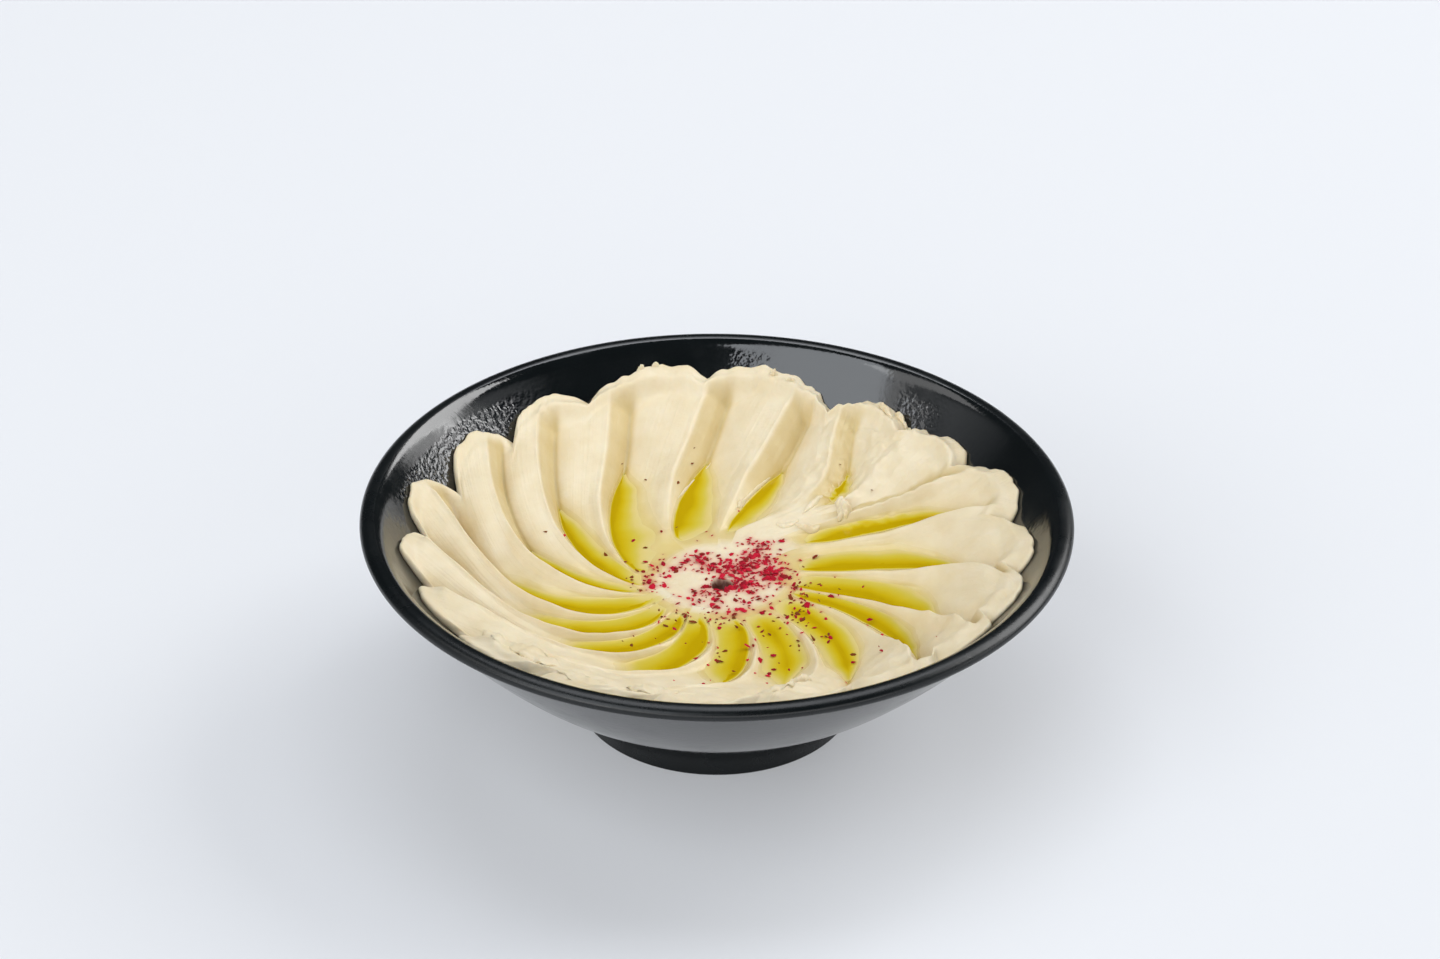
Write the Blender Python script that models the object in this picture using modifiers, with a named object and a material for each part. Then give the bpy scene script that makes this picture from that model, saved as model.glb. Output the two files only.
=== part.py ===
"""A bowl of hummus: a black dish on a foot ring, filled with hummus that a spoon has swirled
into eighteen curved folds, with olive oil standing in the grooves between them.

Metres, +Z up. The foot stands on z = 0 and the bowl's axis is the Z axis. Angles run
anticlockwise from +X as seen from above, so -Y is the front."""

import bmesh
import bpy
import numpy as np

# Bowl: a turned dish with a rolled lip and a hollow foot ring
FOOT_TOP_RADIUS = 0.0409
FOOT_HEIGHT = 0.0122
FOOT_BASE_RADIUS = 0.0424
FOOT_RING_INNER_RADIUS = 0.0384
FOOT_RECESS_HEIGHT = 0.0085
FOOT_EDGE = 0.0006
WALL_TOP_RADIUS = 0.1015
WALL_TOP = 0.0633
WALL_POWER = 1.52
WALL = 0.0040
WALL_STEPS = 8
LIP_START = 0.985
LIP_HALF_WIDTH = 0.0035
LIP_HALF_HEIGHT = 0.0022
LIP_STEPS = 4
TURN_STEPS = 56
MERGE_DISTANCE = 0.0001

# Hummus: each fold rises from its crease to a crest and falls steeply to the next crease
GAP = 0.0003
PLATEAU_HEIGHT = 0.0434
PLATEAU_RADIUS = 0.018
CREST_RISE = 0.0170
CREST_RUN = 0.074
CREST_POWER = 1.45
CREST_LOW_RADIUS = 0.050
CREST_FULL_RADIUS = 0.082
CREST_ROUNDING = 0.3
CREASE_INNER_RADIUS = 0.024
CREASE_OUTER_RADIUS = 0.094
TIP_POWER = 2.2
NOTCH_POWER = 0.85

# Hummus: the steep side of a fold, narrower towards the middle
STEEP_WIDTH = 0.0072
STEEP_INNER_RADIUS = 0.012
STEEP_RUN = 0.040
STEEP_NARROWEST = 0.35
STEEP_SMALLEST_RADIUS = 0.020
STEEP_LARGEST_SHARE = 0.36
STEEP_POWER = 1.12

# Hummus: a groove on the gentle side, a trough where it is wet and a crack where it is dry
GROOVE_BEGIN_RADIUS = 0.017
GROOVE_FULL_RADIUS = 0.030
GENTLE_POWER = 1.5
WET_SLOPE_SHARE = 0.35
DRY_SLOPE_SHARE = 0.20
TROUGH_INNER_RADIUS = 0.028
TROUGH_RUN = 0.030
TROUGH_SPREAD = 1.15
TROUGH_POWER = 1.7
CRACK_WIDTH = 0.0040
CRACK_POWER = 1.2
DRY_BEFORE_END = 0.012
DRY_AFTER_END = 0.010
FLOOR_INNER_RISE = 1.1
FLOOR_INNER_START = 0.005
FLOOR_INNER_RUN = 0.009
FLOOR_OUTER_RUN = 0.010
FLOOR_OUTER_POWER = 1.5

# Hummus: the ends of the grooves at the rim, five of them hollow, and the rounded rim
END_CLOSED = 0.0030
END_OPEN = 0.0095
HOLLOW_GROOVES = (8, 9, 10, 11, 12)
HOLLOW_DEPTH = 0.0032
HOLLOW_BEGIN_RADIUS = 0.066
HOLLOW_FULL_RADIUS = 0.080
HOLLOW_CLOSED = 0.0008
HOLLOW_OPEN = 0.0045
RIM_BEAD = 0.0034
RIM_BLEND = 0.0065
RIM_THINNEST = 0.0012

# Hummus: a dimple near the middle, and the grid of the top
DIMPLE_RADIUS = 0.0036
DIMPLE_DEPTH = 0.0034
DIMPLE_PLACE = (0.0016, -0.0052)
DIMPLE_SEGMENTS = 12
GRID_ROWS = 15
STEEP_COLUMNS = 2
GENTLE_COLUMNS = 3
EVEN_ROWS_SHARE = 0.6
EVEN_ROWS_RADIUS = 0.060
EDGE_ROWS_POWER = 1.5
EDGE_FIRST_GUESS = 0.090
EDGE_TRIES = 8
WALL_SAMPLES = 200

# Oil: one pool in each groove that holds any
POOL_DEPTH = 0.0020
POOL_RIM = 0.0003
POOL_GAP = 0.0003
POOL_NARROWEST = 0.0020
POOL_BLANK_DEPTH = 0.0050
POOL_STATIONS = 7
POOL_MARGIN = 0.006
POOL_SAMPLES = 60
OIL_CLIMB_LIMIT = 1.2
DRY_GROOVE = 2

# Radii at which the grooves' angles are given, then one row a groove round the bowl: its
# crease's angle in degrees at each of those radii; the side of the following fold that is
# steep (1 the near one, -1 the far one, 0 neither); how much of its rise that fold keeps in
# its inner half; then, in millimetres, the trough's half width at its inner and outer end,
# the oil's level and its climb towards the rim, and the radii where the pool starts and ends
STATIONS = np.array([0.030, 0.050, 0.070, 0.090])
GROOVES = np.array([
    # degrees at each station   steep crest  trough     level climb from   to, in mm
    [7.0, 6.0, 0.5, -12.5, -1, 0.50, 5.0, 13.0, 43.3, 2.5, 23, 77],
    [33.5, 28.5, 22.5, 13.0, -1, 0.60, 5.0, 11.0, 43.4, 6.0, 32, 81],
    [50.0, 40.0, 33.5, 29.0, 0, 0.75, 3.0, 3.0, 45.5, 0.0, 60, 62],
    [60.0, 46.5, 54.0, 57.5, 1, 0.85, 6.0, 6.5, 46.0, 0.8, 52, 67],
    [79.0, 72.5, 70.0, 69.0, 1, 0.80, 9.0, 4.5, 43.0, 0.0, 22, 64],
    [113.0, 98.5, 91.0, 87.0, 1, 0.80, 14.5, 10.0, 43.0, 0.0, 20, 64],
    [160.0, 128.5, 114.0, 108.0, 1, 0.80, 20.0, 12.5, 43.3, 0.0, 20, 64],
    [183.0, 154.0, 136.0, 124.0, 1, 0.85, 14.0, 10.5, 43.4, 0.0, 22, 61],
    [198.0, 176.5, 155.0, 138.5, 1, 0.80, 6.5, 5.5, 43.4, 0.0, 26, 57],
    [216.0, 201.0, 177.0, 161.0, 1, 0.45, 14.5, 19.5, 43.5, 0.0, 25, 68],
    [232.5, 219.0, 194.0, 177.0, 1, 0.32, 14.5, 19.5, 43.5, 0.0, 25, 66],
    [246.0, 234.5, 211.0, 194.0, 1, 0.28, 14.5, 18.0, 43.5, 0.0, 25, 63],
    [261.0, 255.0, 234.0, 213.0, 1, 0.28, 10.5, 17.0, 43.5, 0.0, 26, 61],
    [282.0, 276.0, 261.0, 240.0, 1, 0.28, 10.5, 14.5, 43.5, 0.0, 25, 58],
    [298.0, 294.0, 282.0, 265.0, 0, 0.32, 6.0, 13.0, 43.45, 0.0, 25, 61],
    [321.0, 314.0, 302.5, 289.0, -1, 0.38, 5.0, 9.0, 43.4, 0.5, 25, 69],
    [336.0, 332.5, 323.5, 312.0, -1, 0.38, 6.5, 21.0, 43.4, 1.5, 25, 79],
    [345.5, 343.5, 338.0, 329.0, -1, 0.45, 10.5, 24.5, 43.4, 1.0, 22, 74],
])
# The hummus's edge against the wall: angle in degrees and radius in millimetres of the notch
# where each groove meets it, and of the rounded tip of the fold after that notch
NOTCHES = np.array([
    (6.4, 86.9), (29.3, 86.8), (46.6, 86.9), (64.8, 85.9), (92.0, 90.8), (117.2, 89.0),
    (137.1, 86.6), (158.0, 84.4), (177.7, 87.1), (195.7, 86.0), (214.0, 87.5), (233.0, 88.0),
    (254.0, 88.0), (274.0, 88.0), (294.0, 88.0), (315.0, 87.5), (331.0, 88.5), (347.7, 88.4)])
TIPS = np.array([
    (15.8, 93.6), (36.0, 91.3), (55.0, 91.6), (83.0, 94.0), (98.9, 94.5), (126.6, 93.0),
    (147.0, 92.8), (168.5, 93.9), (187.3, 93.5), (205.0, 92.5), (223.0, 92.5), (243.0, 92.0),
    (264.0, 92.5), (284.0, 92.0), (305.0, 92.5), (325.0, 92.5), (338.0, 93.8), (352.7, 93.5)])

N = len(GROOVES)
CREASE_ANGLES = np.radians(GROOVES[:, :4])
STEEP_SIDE, INNER_CREST = GROOVES[:, 4], GROOVES[:, 5]
TROUGH_IN, TROUGH_OUT, LEVEL, CLIMB, START, REACH = GROOVES[:, 6:].T / 1000


def smooth(x, start, end):
    """0 before start, 1 after end, 3t^2 - 2t^3 between."""
    t = np.clip((x - start) / (end - start), 0.0, 1.0)
    return t * t * (3.0 - 2.0 * t)


def outer_wall(x):
    """Radius, height and slope of the bowl's outer wall, x = 0 at the foot and 1 at the lip."""
    span = WALL_TOP_RADIUS - FOOT_TOP_RADIUS
    rise = WALL_TOP - FOOT_HEIGHT
    slope = rise / span * WALL_POWER * x**(WALL_POWER - 1.0)
    return FOOT_TOP_RADIUS + span * x, FOOT_HEIGHT + rise * x**WALL_POWER, slope


def inside_wall(x, distance):
    """Radius and height of the line that runs at this distance inside the outer wall."""
    r, z, slope = outer_wall(x)
    length = np.sqrt(1.0 + slope**2)
    return r - distance * slope / length, z + distance / length


def wall_height(r):
    """Height of the hummus's underside, which follows the inner wall."""
    wall_r, wall_z = inside_wall(np.linspace(0.0, 1.0, WALL_SAMPLES), WALL + GAP)
    return np.interp(r, wall_r, wall_z)


def outline(theta):
    """Radius of the hummus's edge: pointed notches between rounded tips."""
    corners = np.empty((2 * N, 2))
    corners[0::2] = NOTCHES
    corners[1::2] = TIPS
    angle = np.radians(corners[:, 0])
    angle = np.concatenate([angle[-1:] - 2 * np.pi, angle, angle[:1] + 2 * np.pi])
    radius = np.concatenate([corners[-1:, 1], corners[:, 1], corners[:1, 1]]) / 1000
    turned = np.mod(theta, 2 * np.pi)
    i = np.clip(np.searchsorted(angle, turned) - 1, 0, 2 * N)
    x = (turned - angle[i]) / (angle[i + 1] - angle[i])
    from_tip = i % 2 == 0
    x = np.where(from_tip, 1.0 - x, x)
    notch = np.where(from_tip, radius[i + 1], radius[i])
    tip = np.where(from_tip, radius[i], radius[i + 1])
    return notch + (tip - notch) * (1.0 - (1.0 - x)**TIP_POWER)**NOTCH_POWER


def crease_angles(r):
    """Angle of every crease at radius r, and of the first one again a turn later."""
    r = np.clip(np.asarray(r, float), CREASE_INNER_RADIUS, CREASE_OUTER_RADIUS)
    weights = []
    for i, at in enumerate(STATIONS):
        others = np.delete(STATIONS, i)
        weights.append(np.prod([(r - other) / (at - other) for other in others], axis=0))
    angles = np.stack(weights, axis=-1) @ CREASE_ANGLES.T
    return np.concatenate([angles, angles[..., :1] + 2 * np.pi], axis=-1)


def crest_angles(r):
    """Angle of each fold's crest, which stands beside the crease on its steep side."""
    creases = crease_angles(r)
    gap = creases[..., 1:] - creases[..., :-1]
    r = np.asarray(r, float)[..., None]
    widening = np.clip((r - STEEP_INNER_RADIUS) / STEEP_RUN, STEEP_NARROWEST, 1.0)
    width = STEEP_WIDTH * widening / np.maximum(r, STEEP_SMALLEST_RADIUS)
    share = np.minimum(width / gap, STEEP_LARGEST_SHARE)
    part = np.where(STEEP_SIDE > 0, share, np.where(STEEP_SIDE < 0, 1.0 - share, 0.5))
    return creases[..., :-1] + part * gap


def crest_height(r, inner):
    """Height of a crest: the plateau, then a rise as a power of the radius."""
    rise = CREST_RISE * (np.clip(r - PLATEAU_RADIUS, 0.0, None) / CREST_RUN)**CREST_POWER
    outer = smooth(r, CREST_LOW_RADIUS, CREST_FULL_RADIUS)
    return PLATEAU_HEIGHT + rise * (inner + (1.0 - inner) * outer)


def oil_height(r, groove):
    """Height of the oil in a groove: level, or climbing a little towards the rim."""
    run = (r - START[groove]) / (REACH[groove] - START[groove])
    return LEVEL[groove] + CLIMB[groove] * np.clip(run, 0.0, OIL_CLIMB_LIMIT)**2


def floor_height(r, groove):
    """Height of a crease: under the oil along the pool, above it past both ends."""
    past_start = np.clip(r - START[groove] + FLOOR_INNER_START, 0.0, None)
    inner = FLOOR_INNER_RISE * np.exp(-(past_start / FLOOR_INNER_RUN)**2)
    near_end = np.clip(r - REACH[groove] + FLOOR_OUTER_RUN, 0.0, None)
    outer = (near_end / FLOOR_OUTER_RUN)**FLOOR_OUTER_POWER
    return oil_height(r, groove) + POOL_DEPTH * (inner + outer - 1.0)


def take(values, index):
    """values[..., index] for arrays of indices."""
    return np.take_along_axis(values, index[..., None], axis=-1)[..., 0]


def fold_angle(r, fold, side, s):
    """Angle, and arc length from crest to crease, at s of the way down one side of a fold."""
    creases = crease_angles(r)
    crest = take(crest_angles(r), fold)
    crease = np.where(side == 0, take(creases, fold), take(creases, fold + 1))
    return crest + (crease - crest) * s, np.abs(crease - crest) * r


def fold_height(r, fold, side, s, length, edge):
    """Height of the hummus: crest at s = 0, crease at s = 1, and the edge over the wall."""
    after = (fold + 1) % N
    before = (fold - 1) % N
    groove = np.where(side == 0, fold, after)
    beyond = np.where(side == 0, before, after)
    steep = np.where(side == 0, STEEP_SIDE[fold] > 0, STEEP_SIDE[fold] < 0)
    top = crest_height(r, INNER_CREST[fold])
    middle = 0.5 * (top + crest_height(r, INNER_CREST[beyond]))
    drop = np.clip(middle - floor_height(r, groove), 0.0, None)
    bottom = middle - smooth(r, GROOVE_BEGIN_RADIUS, GROOVE_FULL_RADIUS) * drop
    hollow = np.isin(groove, HOLLOW_GROOVES)
    bottom = bottom - HOLLOW_DEPTH * hollow * smooth(r, HOLLOW_BEGIN_RADIUS, HOLLOW_FULL_RADIUS)
    closed = np.where(hollow, HOLLOW_CLOSED, END_CLOSED)
    opened = np.where(hollow, HOLLOW_OPEN, END_OPEN)
    ends = smooth(edge - r, closed, opened)
    away = (1.0 - s) * length
    widening = np.clip((r - TROUGH_INNER_RADIUS) / TROUGH_RUN, 0.0, 1.0)
    width = TROUGH_IN[groove] + (TROUGH_OUT - TROUGH_IN)[groove] * widening
    dry = smooth(r, REACH[groove] - DRY_BEFORE_END, REACH[groove] + DRY_AFTER_END)
    trough = np.exp(-(away / (TROUGH_SPREAD * width))**TROUGH_POWER) * (1.0 - dry)
    crack = np.exp(-(away / CRACK_WIDTH)**CRACK_POWER) * dry
    share = WET_SLOPE_SHARE + DRY_SLOPE_SHARE * dry
    rounded = smooth(s, 0.0, CREST_ROUNDING)
    gentle = share * s**GENTLE_POWER + (1.0 - share) * (trough + crack) * rounded
    fall = np.where(steep, s**STEEP_POWER, gentle) * ends
    height = top * (1.0 - fall) + bottom * fall
    wall = wall_height(r)
    rim = 1.0 - smooth(edge - r, 0.0, RIM_BLEND)
    thick = np.maximum((height - wall) * (1.0 - rim) + RIM_BEAD * rim, RIM_THINNEST)
    round_off = np.clip((r - edge + RIM_BEAD) / RIM_BEAD, 0.0, 1.0)
    return wall + thick * np.sqrt(np.clip(1.0 - round_off**2, 0.0, 1.0))


def columns(n_steep, n_gentle):
    """Fold, side and s of the grid's columns: they run along every crest and crease."""
    fold, side, s = [], [], []
    for k in range(N):
        n_low, n_high = (n_gentle, n_steep) if STEEP_SIDE[k] < 0 else (n_steep, n_gentle)
        fold += [k] * (n_low + n_high)
        side += [0] * n_low + [1] * n_high
        s += list(1.0 - np.arange(n_low) / n_low) + list(np.arange(n_high) / n_high)
    return np.array(fold), np.array(side), np.array(s)


def swirl(rows, n_steep, n_gentle):
    """Radius, angle and height of the top's grid, rows from the middle out to the edge."""
    fold, side, s = columns(n_steep, n_gentle)
    edge = np.full(len(fold), EDGE_FIRST_GUESS)
    for _ in range(EDGE_TRIES):
        edge = 0.5 * edge + 0.5 * outline(fold_angle(edge, fold, side, s)[0])
    u = np.linspace(0.0, 1.0, rows + 1)[1:, None]
    outer = np.clip((u - EVEN_ROWS_SHARE) / (1.0 - EVEN_ROWS_SHARE), 0.0, 1.0)
    outward = 1.0 - (1.0 - outer)**EDGE_ROWS_POWER
    even = EVEN_ROWS_RADIUS * u / EVEN_ROWS_SHARE
    r = np.where(u < EVEN_ROWS_SHARE, even, EVEN_ROWS_RADIUS + (edge - EVEN_ROWS_RADIUS) * outward)
    fold, side, s, edge = (np.broadcast_to(a, r.shape) for a in (fold, side, s, edge))
    theta, length = fold_angle(r, fold, side, s)
    return r, theta, fold_height(r, fold, side, s, length, edge)


def height_at(r, theta):
    """Height of the top at any radius and angle."""
    creases = crease_angles(r)
    turned = creases[..., 0] + np.mod(theta - creases[..., 0], 2 * np.pi)
    fold = np.clip((turned[..., None] >= creases).sum(axis=-1) - 1, 0, N - 1)
    crest = take(crest_angles(r), fold)
    side = (turned >= crest).astype(int)
    crease = np.where(side == 0, take(creases, fold), take(creases, fold + 1))
    s = np.clip((turned - crest) / (crease - crest), 0.0, 1.0)
    return fold_height(r, fold, side, s, np.abs(crease - crest) * r, outline(theta))


def shores(groove, depth, narrowest):
    """Radii of a pool and the angles of its two shores, where the oil is this deep and this wide."""
    r = np.linspace(START[groove] - POOL_MARGIN, REACH[groove] + POOL_MARGIN, POOL_SAMPLES)
    crease = crease_angles(r)[:, groove]
    low = crest_angles(r)[:, groove - 1] - (2 * np.pi if groove == 0 else 0.0)
    high = crest_angles(r)[:, groove]
    across = np.linspace(0.0, 1.0, POOL_SAMPLES + 1)
    found = []
    for towards in (low, high):
        theta = crease[:, None] + (towards - crease)[:, None] * across
        radius = np.broadcast_to(r[:, None], theta.shape)
        wet = oil_height(radius, groove) - height_at(radius, theta) > depth
        reached = np.where(wet.all(axis=1), POOL_SAMPLES, np.argmin(wet, axis=1))
        found.append((crease + (towards - crease) * across[np.maximum(reached - 1, 0)], reached > 0))
    wide = r * (found[1][0] - found[0][0]) > narrowest
    wet = found[0][1] & found[1][1] & wide
    run = np.flatnonzero(wet)
    parts = np.split(run, np.flatnonzero(np.diff(run) > 1) + 1)
    run = max(parts, key=len)
    return r[run], found[0][0][run], found[1][0][run]


def cartesian(r, theta, z):
    """Points from radius, angle and height."""
    return np.stack([r * np.cos(theta), r * np.sin(theta), z], axis=-1).reshape(-1, 3)


def ring_faces(outer, inner, count):
    """Triangles between two rings of points, given the index each ring starts at."""
    i = np.arange(count)
    j = (i + 1) % count
    first = np.stack([inner + i, outer + i, outer + j], axis=-1)
    second = np.stack([inner + i, outer + j, inner + j], axis=-1)
    return np.concatenate([first, second])


def solid(name, points, faces, material):
    """A mesh object from points and triangles, shaded smooth."""
    mesh = bpy.data.meshes.new(name)
    mesh.from_pydata(points.tolist(), [], faces.tolist())
    mesh.shade_smooth()
    mesh.materials.append(material)
    made = bpy.data.objects.new(name, mesh)
    dish.objects.link(made)
    return made


def cut_with(made, name, cutter):
    """Takes a cutter out of an object."""
    cut = made.modifiers.new(name, "BOOLEAN")
    cut.operation = "DIFFERENCE"
    cut.solver = "EXACT"
    cut.object = cutter


def dimple_ball():
    """The ball that presses the dimple into the hummus, close to its middle."""
    radius = (DIMPLE_RADIUS**2 + DIMPLE_DEPTH**2) / (2.0 * DIMPLE_DEPTH)
    shape = bmesh.new()
    bmesh.ops.create_uvsphere(
        shape, u_segments=DIMPLE_SEGMENTS, v_segments=DIMPLE_SEGMENTS // 2 + 2, radius=radius
    )
    centre = (*DIMPLE_PLACE, PLATEAU_HEIGHT - DIMPLE_DEPTH + radius)
    bmesh.ops.translate(shape, verts=shape.verts, vec=centre)
    mesh = bpy.data.meshes.new("Dimple ball")
    shape.to_mesh(mesh)
    shape.free()
    made = bpy.data.objects.new("Dimple ball", mesh)
    dish.objects.link(made)
    return made


def finish(name, colour, roughness, metallic=0.0):
    """A material with a Principled shader."""
    made = bpy.data.materials.new(name)
    made.use_nodes = True
    shader = made.node_tree.nodes["Principled BSDF"]
    shader.inputs["Base Color"].default_value = (*colour, 1.0)
    shader.inputs["Roughness"].default_value = roughness
    shader.inputs["Metallic"].default_value = metallic
    return made


def bowl_profile():
    """The bowl's section, from the middle of its inside over the lip to the middle beneath."""
    x = np.linspace(0.0, LIP_START, WALL_STEPS + 1)
    inner = np.column_stack(inside_wall(x, WALL))
    lip_height = WALL_TOP + 2.0 * LIP_HALF_HEIGHT
    start = inner[-1]
    slope = outer_wall(LIP_START)[2]
    corner = np.array([start[0] + (lip_height - start[1]) / slope, lip_height])
    crown = np.array([WALL_TOP_RADIUS, lip_height])
    t = np.linspace(0.0, 1.0, LIP_STEPS + 1)[1:, None]
    shoulder = (1.0 - t)**2 * start + 2.0 * t * (1.0 - t) * corner + t**2 * crown
    turn = np.radians(90.0 - 180.0 * np.linspace(0.0, 1.0, LIP_STEPS + 3)[1:])
    roll_r = WALL_TOP_RADIUS + LIP_HALF_WIDTH * np.cos(turn)
    roll = np.column_stack([roll_r, WALL_TOP + LIP_HALF_HEIGHT * (1.0 + np.sin(turn))])
    r, z, _ = outer_wall(np.linspace(1.0, 0.0, WALL_STEPS)[1:])
    foot = [
        (FOOT_BASE_RADIUS, FOOT_EDGE),
        (FOOT_BASE_RADIUS - FOOT_EDGE, 0.0),
        (FOOT_RING_INNER_RADIUS + FOOT_EDGE, 0.0),
        (FOOT_RING_INNER_RADIUS, FOOT_EDGE),
        (FOOT_RING_INNER_RADIUS, FOOT_RECESS_HEIGHT),
        (0.0, FOOT_RECESS_HEIGHT),
    ]
    middle = np.array([[0.0, inner[0, 1]]])
    return np.concatenate([middle, inner, shoulder, roll, np.column_stack([r, z]), foot])


def turned_solid(name, profile, material):
    """A profile in the XZ plane, turned a full circle about Z."""
    mesh = bpy.data.meshes.new(name)
    points = np.column_stack([profile[:, 0], np.zeros(len(profile)), profile[:, 1]])
    along = np.arange(len(profile) - 1)
    mesh.from_pydata(points.tolist(), np.column_stack([along, along + 1]).tolist(), [])
    mesh.materials.append(material)
    made = bpy.data.objects.new(name, mesh)
    dish.objects.link(made)
    turn = made.modifiers.new("Turn", "SCREW")
    turn.steps = TURN_STEPS
    turn.render_steps = TURN_STEPS
    turn.use_merge_vertices = True
    turn.merge_threshold = MERGE_DISTANCE
    turn.use_smooth_shade = True
    return made


def hummus_mesh():
    """Points and triangles of the hummus: its swirled top, and a base on the bowl's wall."""
    r, theta, z = swirl(GRID_ROWS, STEEP_COLUMNS, GENTLE_COLUMNS)
    count = r.shape[1]
    points = [np.array([[0.0, 0.0, PLATEAU_HEIGHT]]), cartesian(r, theta, z)]
    faces = [np.column_stack([np.zeros(count, int), ring(1, count, 0), ring(1, count, 1)])]
    inner = 1
    for _ in range(GRID_ROWS - 1):
        faces.append(ring_faces(inner + count, inner, count))
        inner += count
    stations = np.linspace(0.0, LIP_START, WALL_STEPS + 1)[:WALL_STEPS - 1][::-1]
    for x in stations:
        base_r, base_z = inside_wall(x, WALL + GAP)
        points.append(cartesian(np.full(count, base_r), theta[-1], np.full(count, base_z)))
        faces.append(ring_faces(inner + count, inner, count))
        inner += count
    bottom = inner + count
    points.append(np.array([[0.0, 0.0, base_z]]))
    faces.append(np.column_stack([ring(inner, count, 1), ring(inner, count, 0), np.full(count, bottom)]))
    return np.concatenate(points), np.concatenate(faces)


def ring(first, count, shift):
    """Indices of a ring of points, turned on by a number of places."""
    return first + (np.arange(count) + shift) % count


def pool_blank(groove):
    """Points and triangles of a block with a groove's two shores and its oil's surface."""
    r, low, high = shores(groove, POOL_RIM + POOL_GAP, POOL_NARROWEST)
    at = np.linspace(0, len(r) - 1, POOL_STATIONS).round().astype(int)
    level = oil_height(r[at], groove)
    rows = []
    for drop in (0.0, POOL_BLANK_DEPTH):
        rows.append(cartesian(r[at], low[at], level - drop))
        rows.append(cartesian(r[at], high[at], level - drop))
    n = POOL_STATIONS
    i = np.arange(n - 1)
    faces = []
    for a, b in ((0, n), (n, 3 * n), (3 * n, 2 * n), (2 * n, 0)):
        faces.append(np.column_stack([a + i, a + i + 1, b + i + 1]))
        faces.append(np.column_stack([a + i, b + i + 1, b + i]))
    faces.append(np.array([(0, n, 3 * n), (0, 3 * n, 2 * n)]))
    last = n - 1
    faces.append(np.array([(last, 3 * n + last, n + last), (last, 2 * n + last, 3 * n + last)]))
    return np.concatenate(rows), np.concatenate(faces)


for old in list(bpy.data.objects):
    bpy.data.objects.remove(old)
dish = bpy.data.collections.new("Hummus bowl")
cutters = bpy.data.collections.new("Cutters")
bpy.context.scene.collection.children.link(dish)
bpy.context.scene.collection.children.link(cutters)
cutters.hide_render = True

black = finish("Bowl melamine", (0.012, 0.016, 0.018), 0.18)
paste = finish("Hummus", (0.82, 0.74, 0.57), 0.55)
oil = finish("Olive oil", (0.55, 0.40, 0.02), 0.06)

turned_solid("bowl", bowl_profile(), black)
hummus = solid("hummus", *hummus_mesh(), paste)

raised = solid("Raised hummus", *hummus_mesh(), paste)
raised.location.z = POOL_GAP
ball = dimple_ball()
for cutter in (raised, ball):
    dish.objects.unlink(cutter)
    cutters.objects.link(cutter)
    cutter.hide_render = True
    cutter.display_type = "WIRE"
cut_with(hummus, "Dimple", ball)

pool_grooves = [groove for groove in range(N) if groove != DRY_GROOVE]
for number, groove in enumerate(pool_grooves, start=1):
    pool = solid(f"oil_pool_{number:02d}", *pool_blank(groove), oil)
    cut_with(pool, "Groove", raised)
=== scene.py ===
# %% [markdown]
# # Hummus in its bowl
# A black melamine bowl holds hummus that a spoon has swirled into a pinwheel. Olive oil has
# run into the grooves, and sumac is sprinkled over the middle. The CAD model gives the
# sizes and the collision solids. This lesson builds the fine surfaces that stand for them.

import bpy
import numpy as np
from mathutils import Matrix, Vector


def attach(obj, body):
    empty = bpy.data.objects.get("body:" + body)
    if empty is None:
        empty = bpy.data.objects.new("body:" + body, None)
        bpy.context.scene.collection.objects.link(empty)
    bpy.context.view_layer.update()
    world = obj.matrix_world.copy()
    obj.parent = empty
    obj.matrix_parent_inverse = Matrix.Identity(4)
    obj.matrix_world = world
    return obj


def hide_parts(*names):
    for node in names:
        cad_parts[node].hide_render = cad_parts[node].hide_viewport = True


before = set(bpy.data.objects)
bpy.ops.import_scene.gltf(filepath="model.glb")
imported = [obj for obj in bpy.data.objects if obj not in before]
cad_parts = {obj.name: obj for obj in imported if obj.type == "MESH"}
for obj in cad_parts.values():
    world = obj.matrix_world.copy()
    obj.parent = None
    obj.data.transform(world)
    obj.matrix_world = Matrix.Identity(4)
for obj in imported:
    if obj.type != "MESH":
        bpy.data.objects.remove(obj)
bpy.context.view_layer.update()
scene = bpy.context.scene
scene.view_settings.view_transform = "Standard"
pool_nodes = sorted(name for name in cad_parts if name.startswith("oil_pool_"))
print(len(pool_nodes), "oil pools")

# %% [markdown]
# ## Small helpers
# A few helpers serve every piece. One turns an sRGB hex colour into linear light, which is
# what shaders work in. One adds a node with its settings and links. One turns a grid of
# points into a closed mesh. Nearly everything here is a closed shell with two poles: a
# bowl, a pool and a flake differ only in the formula that fills the grid, so one mesh
# builder is enough.


# %% Colours and nodes
def linear(code):
    """sRGB hex to linear RGBA: a straight piece near black, a power of 2.4 above it."""
    value = np.array([int(code[i:i + 2], 16) / 255 for i in (0, 2, 4)])
    low = value / 12.92
    high = ((value + 0.055) / 1.055)**2.4
    return (*np.where(value <= 0.04045, low, high).tolist(), 1.0)


def fill(tree, node, inputs):
    """Sets or links a node's inputs. A node given as a value stands for its first output."""
    for socket, value in inputs.items():
        if isinstance(value, bpy.types.Node):
            value = value.outputs[0]
        if isinstance(value, bpy.types.NodeSocket):
            tree.links.new(value, node.inputs[socket])
        else:
            node.inputs[socket].default_value = value


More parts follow.
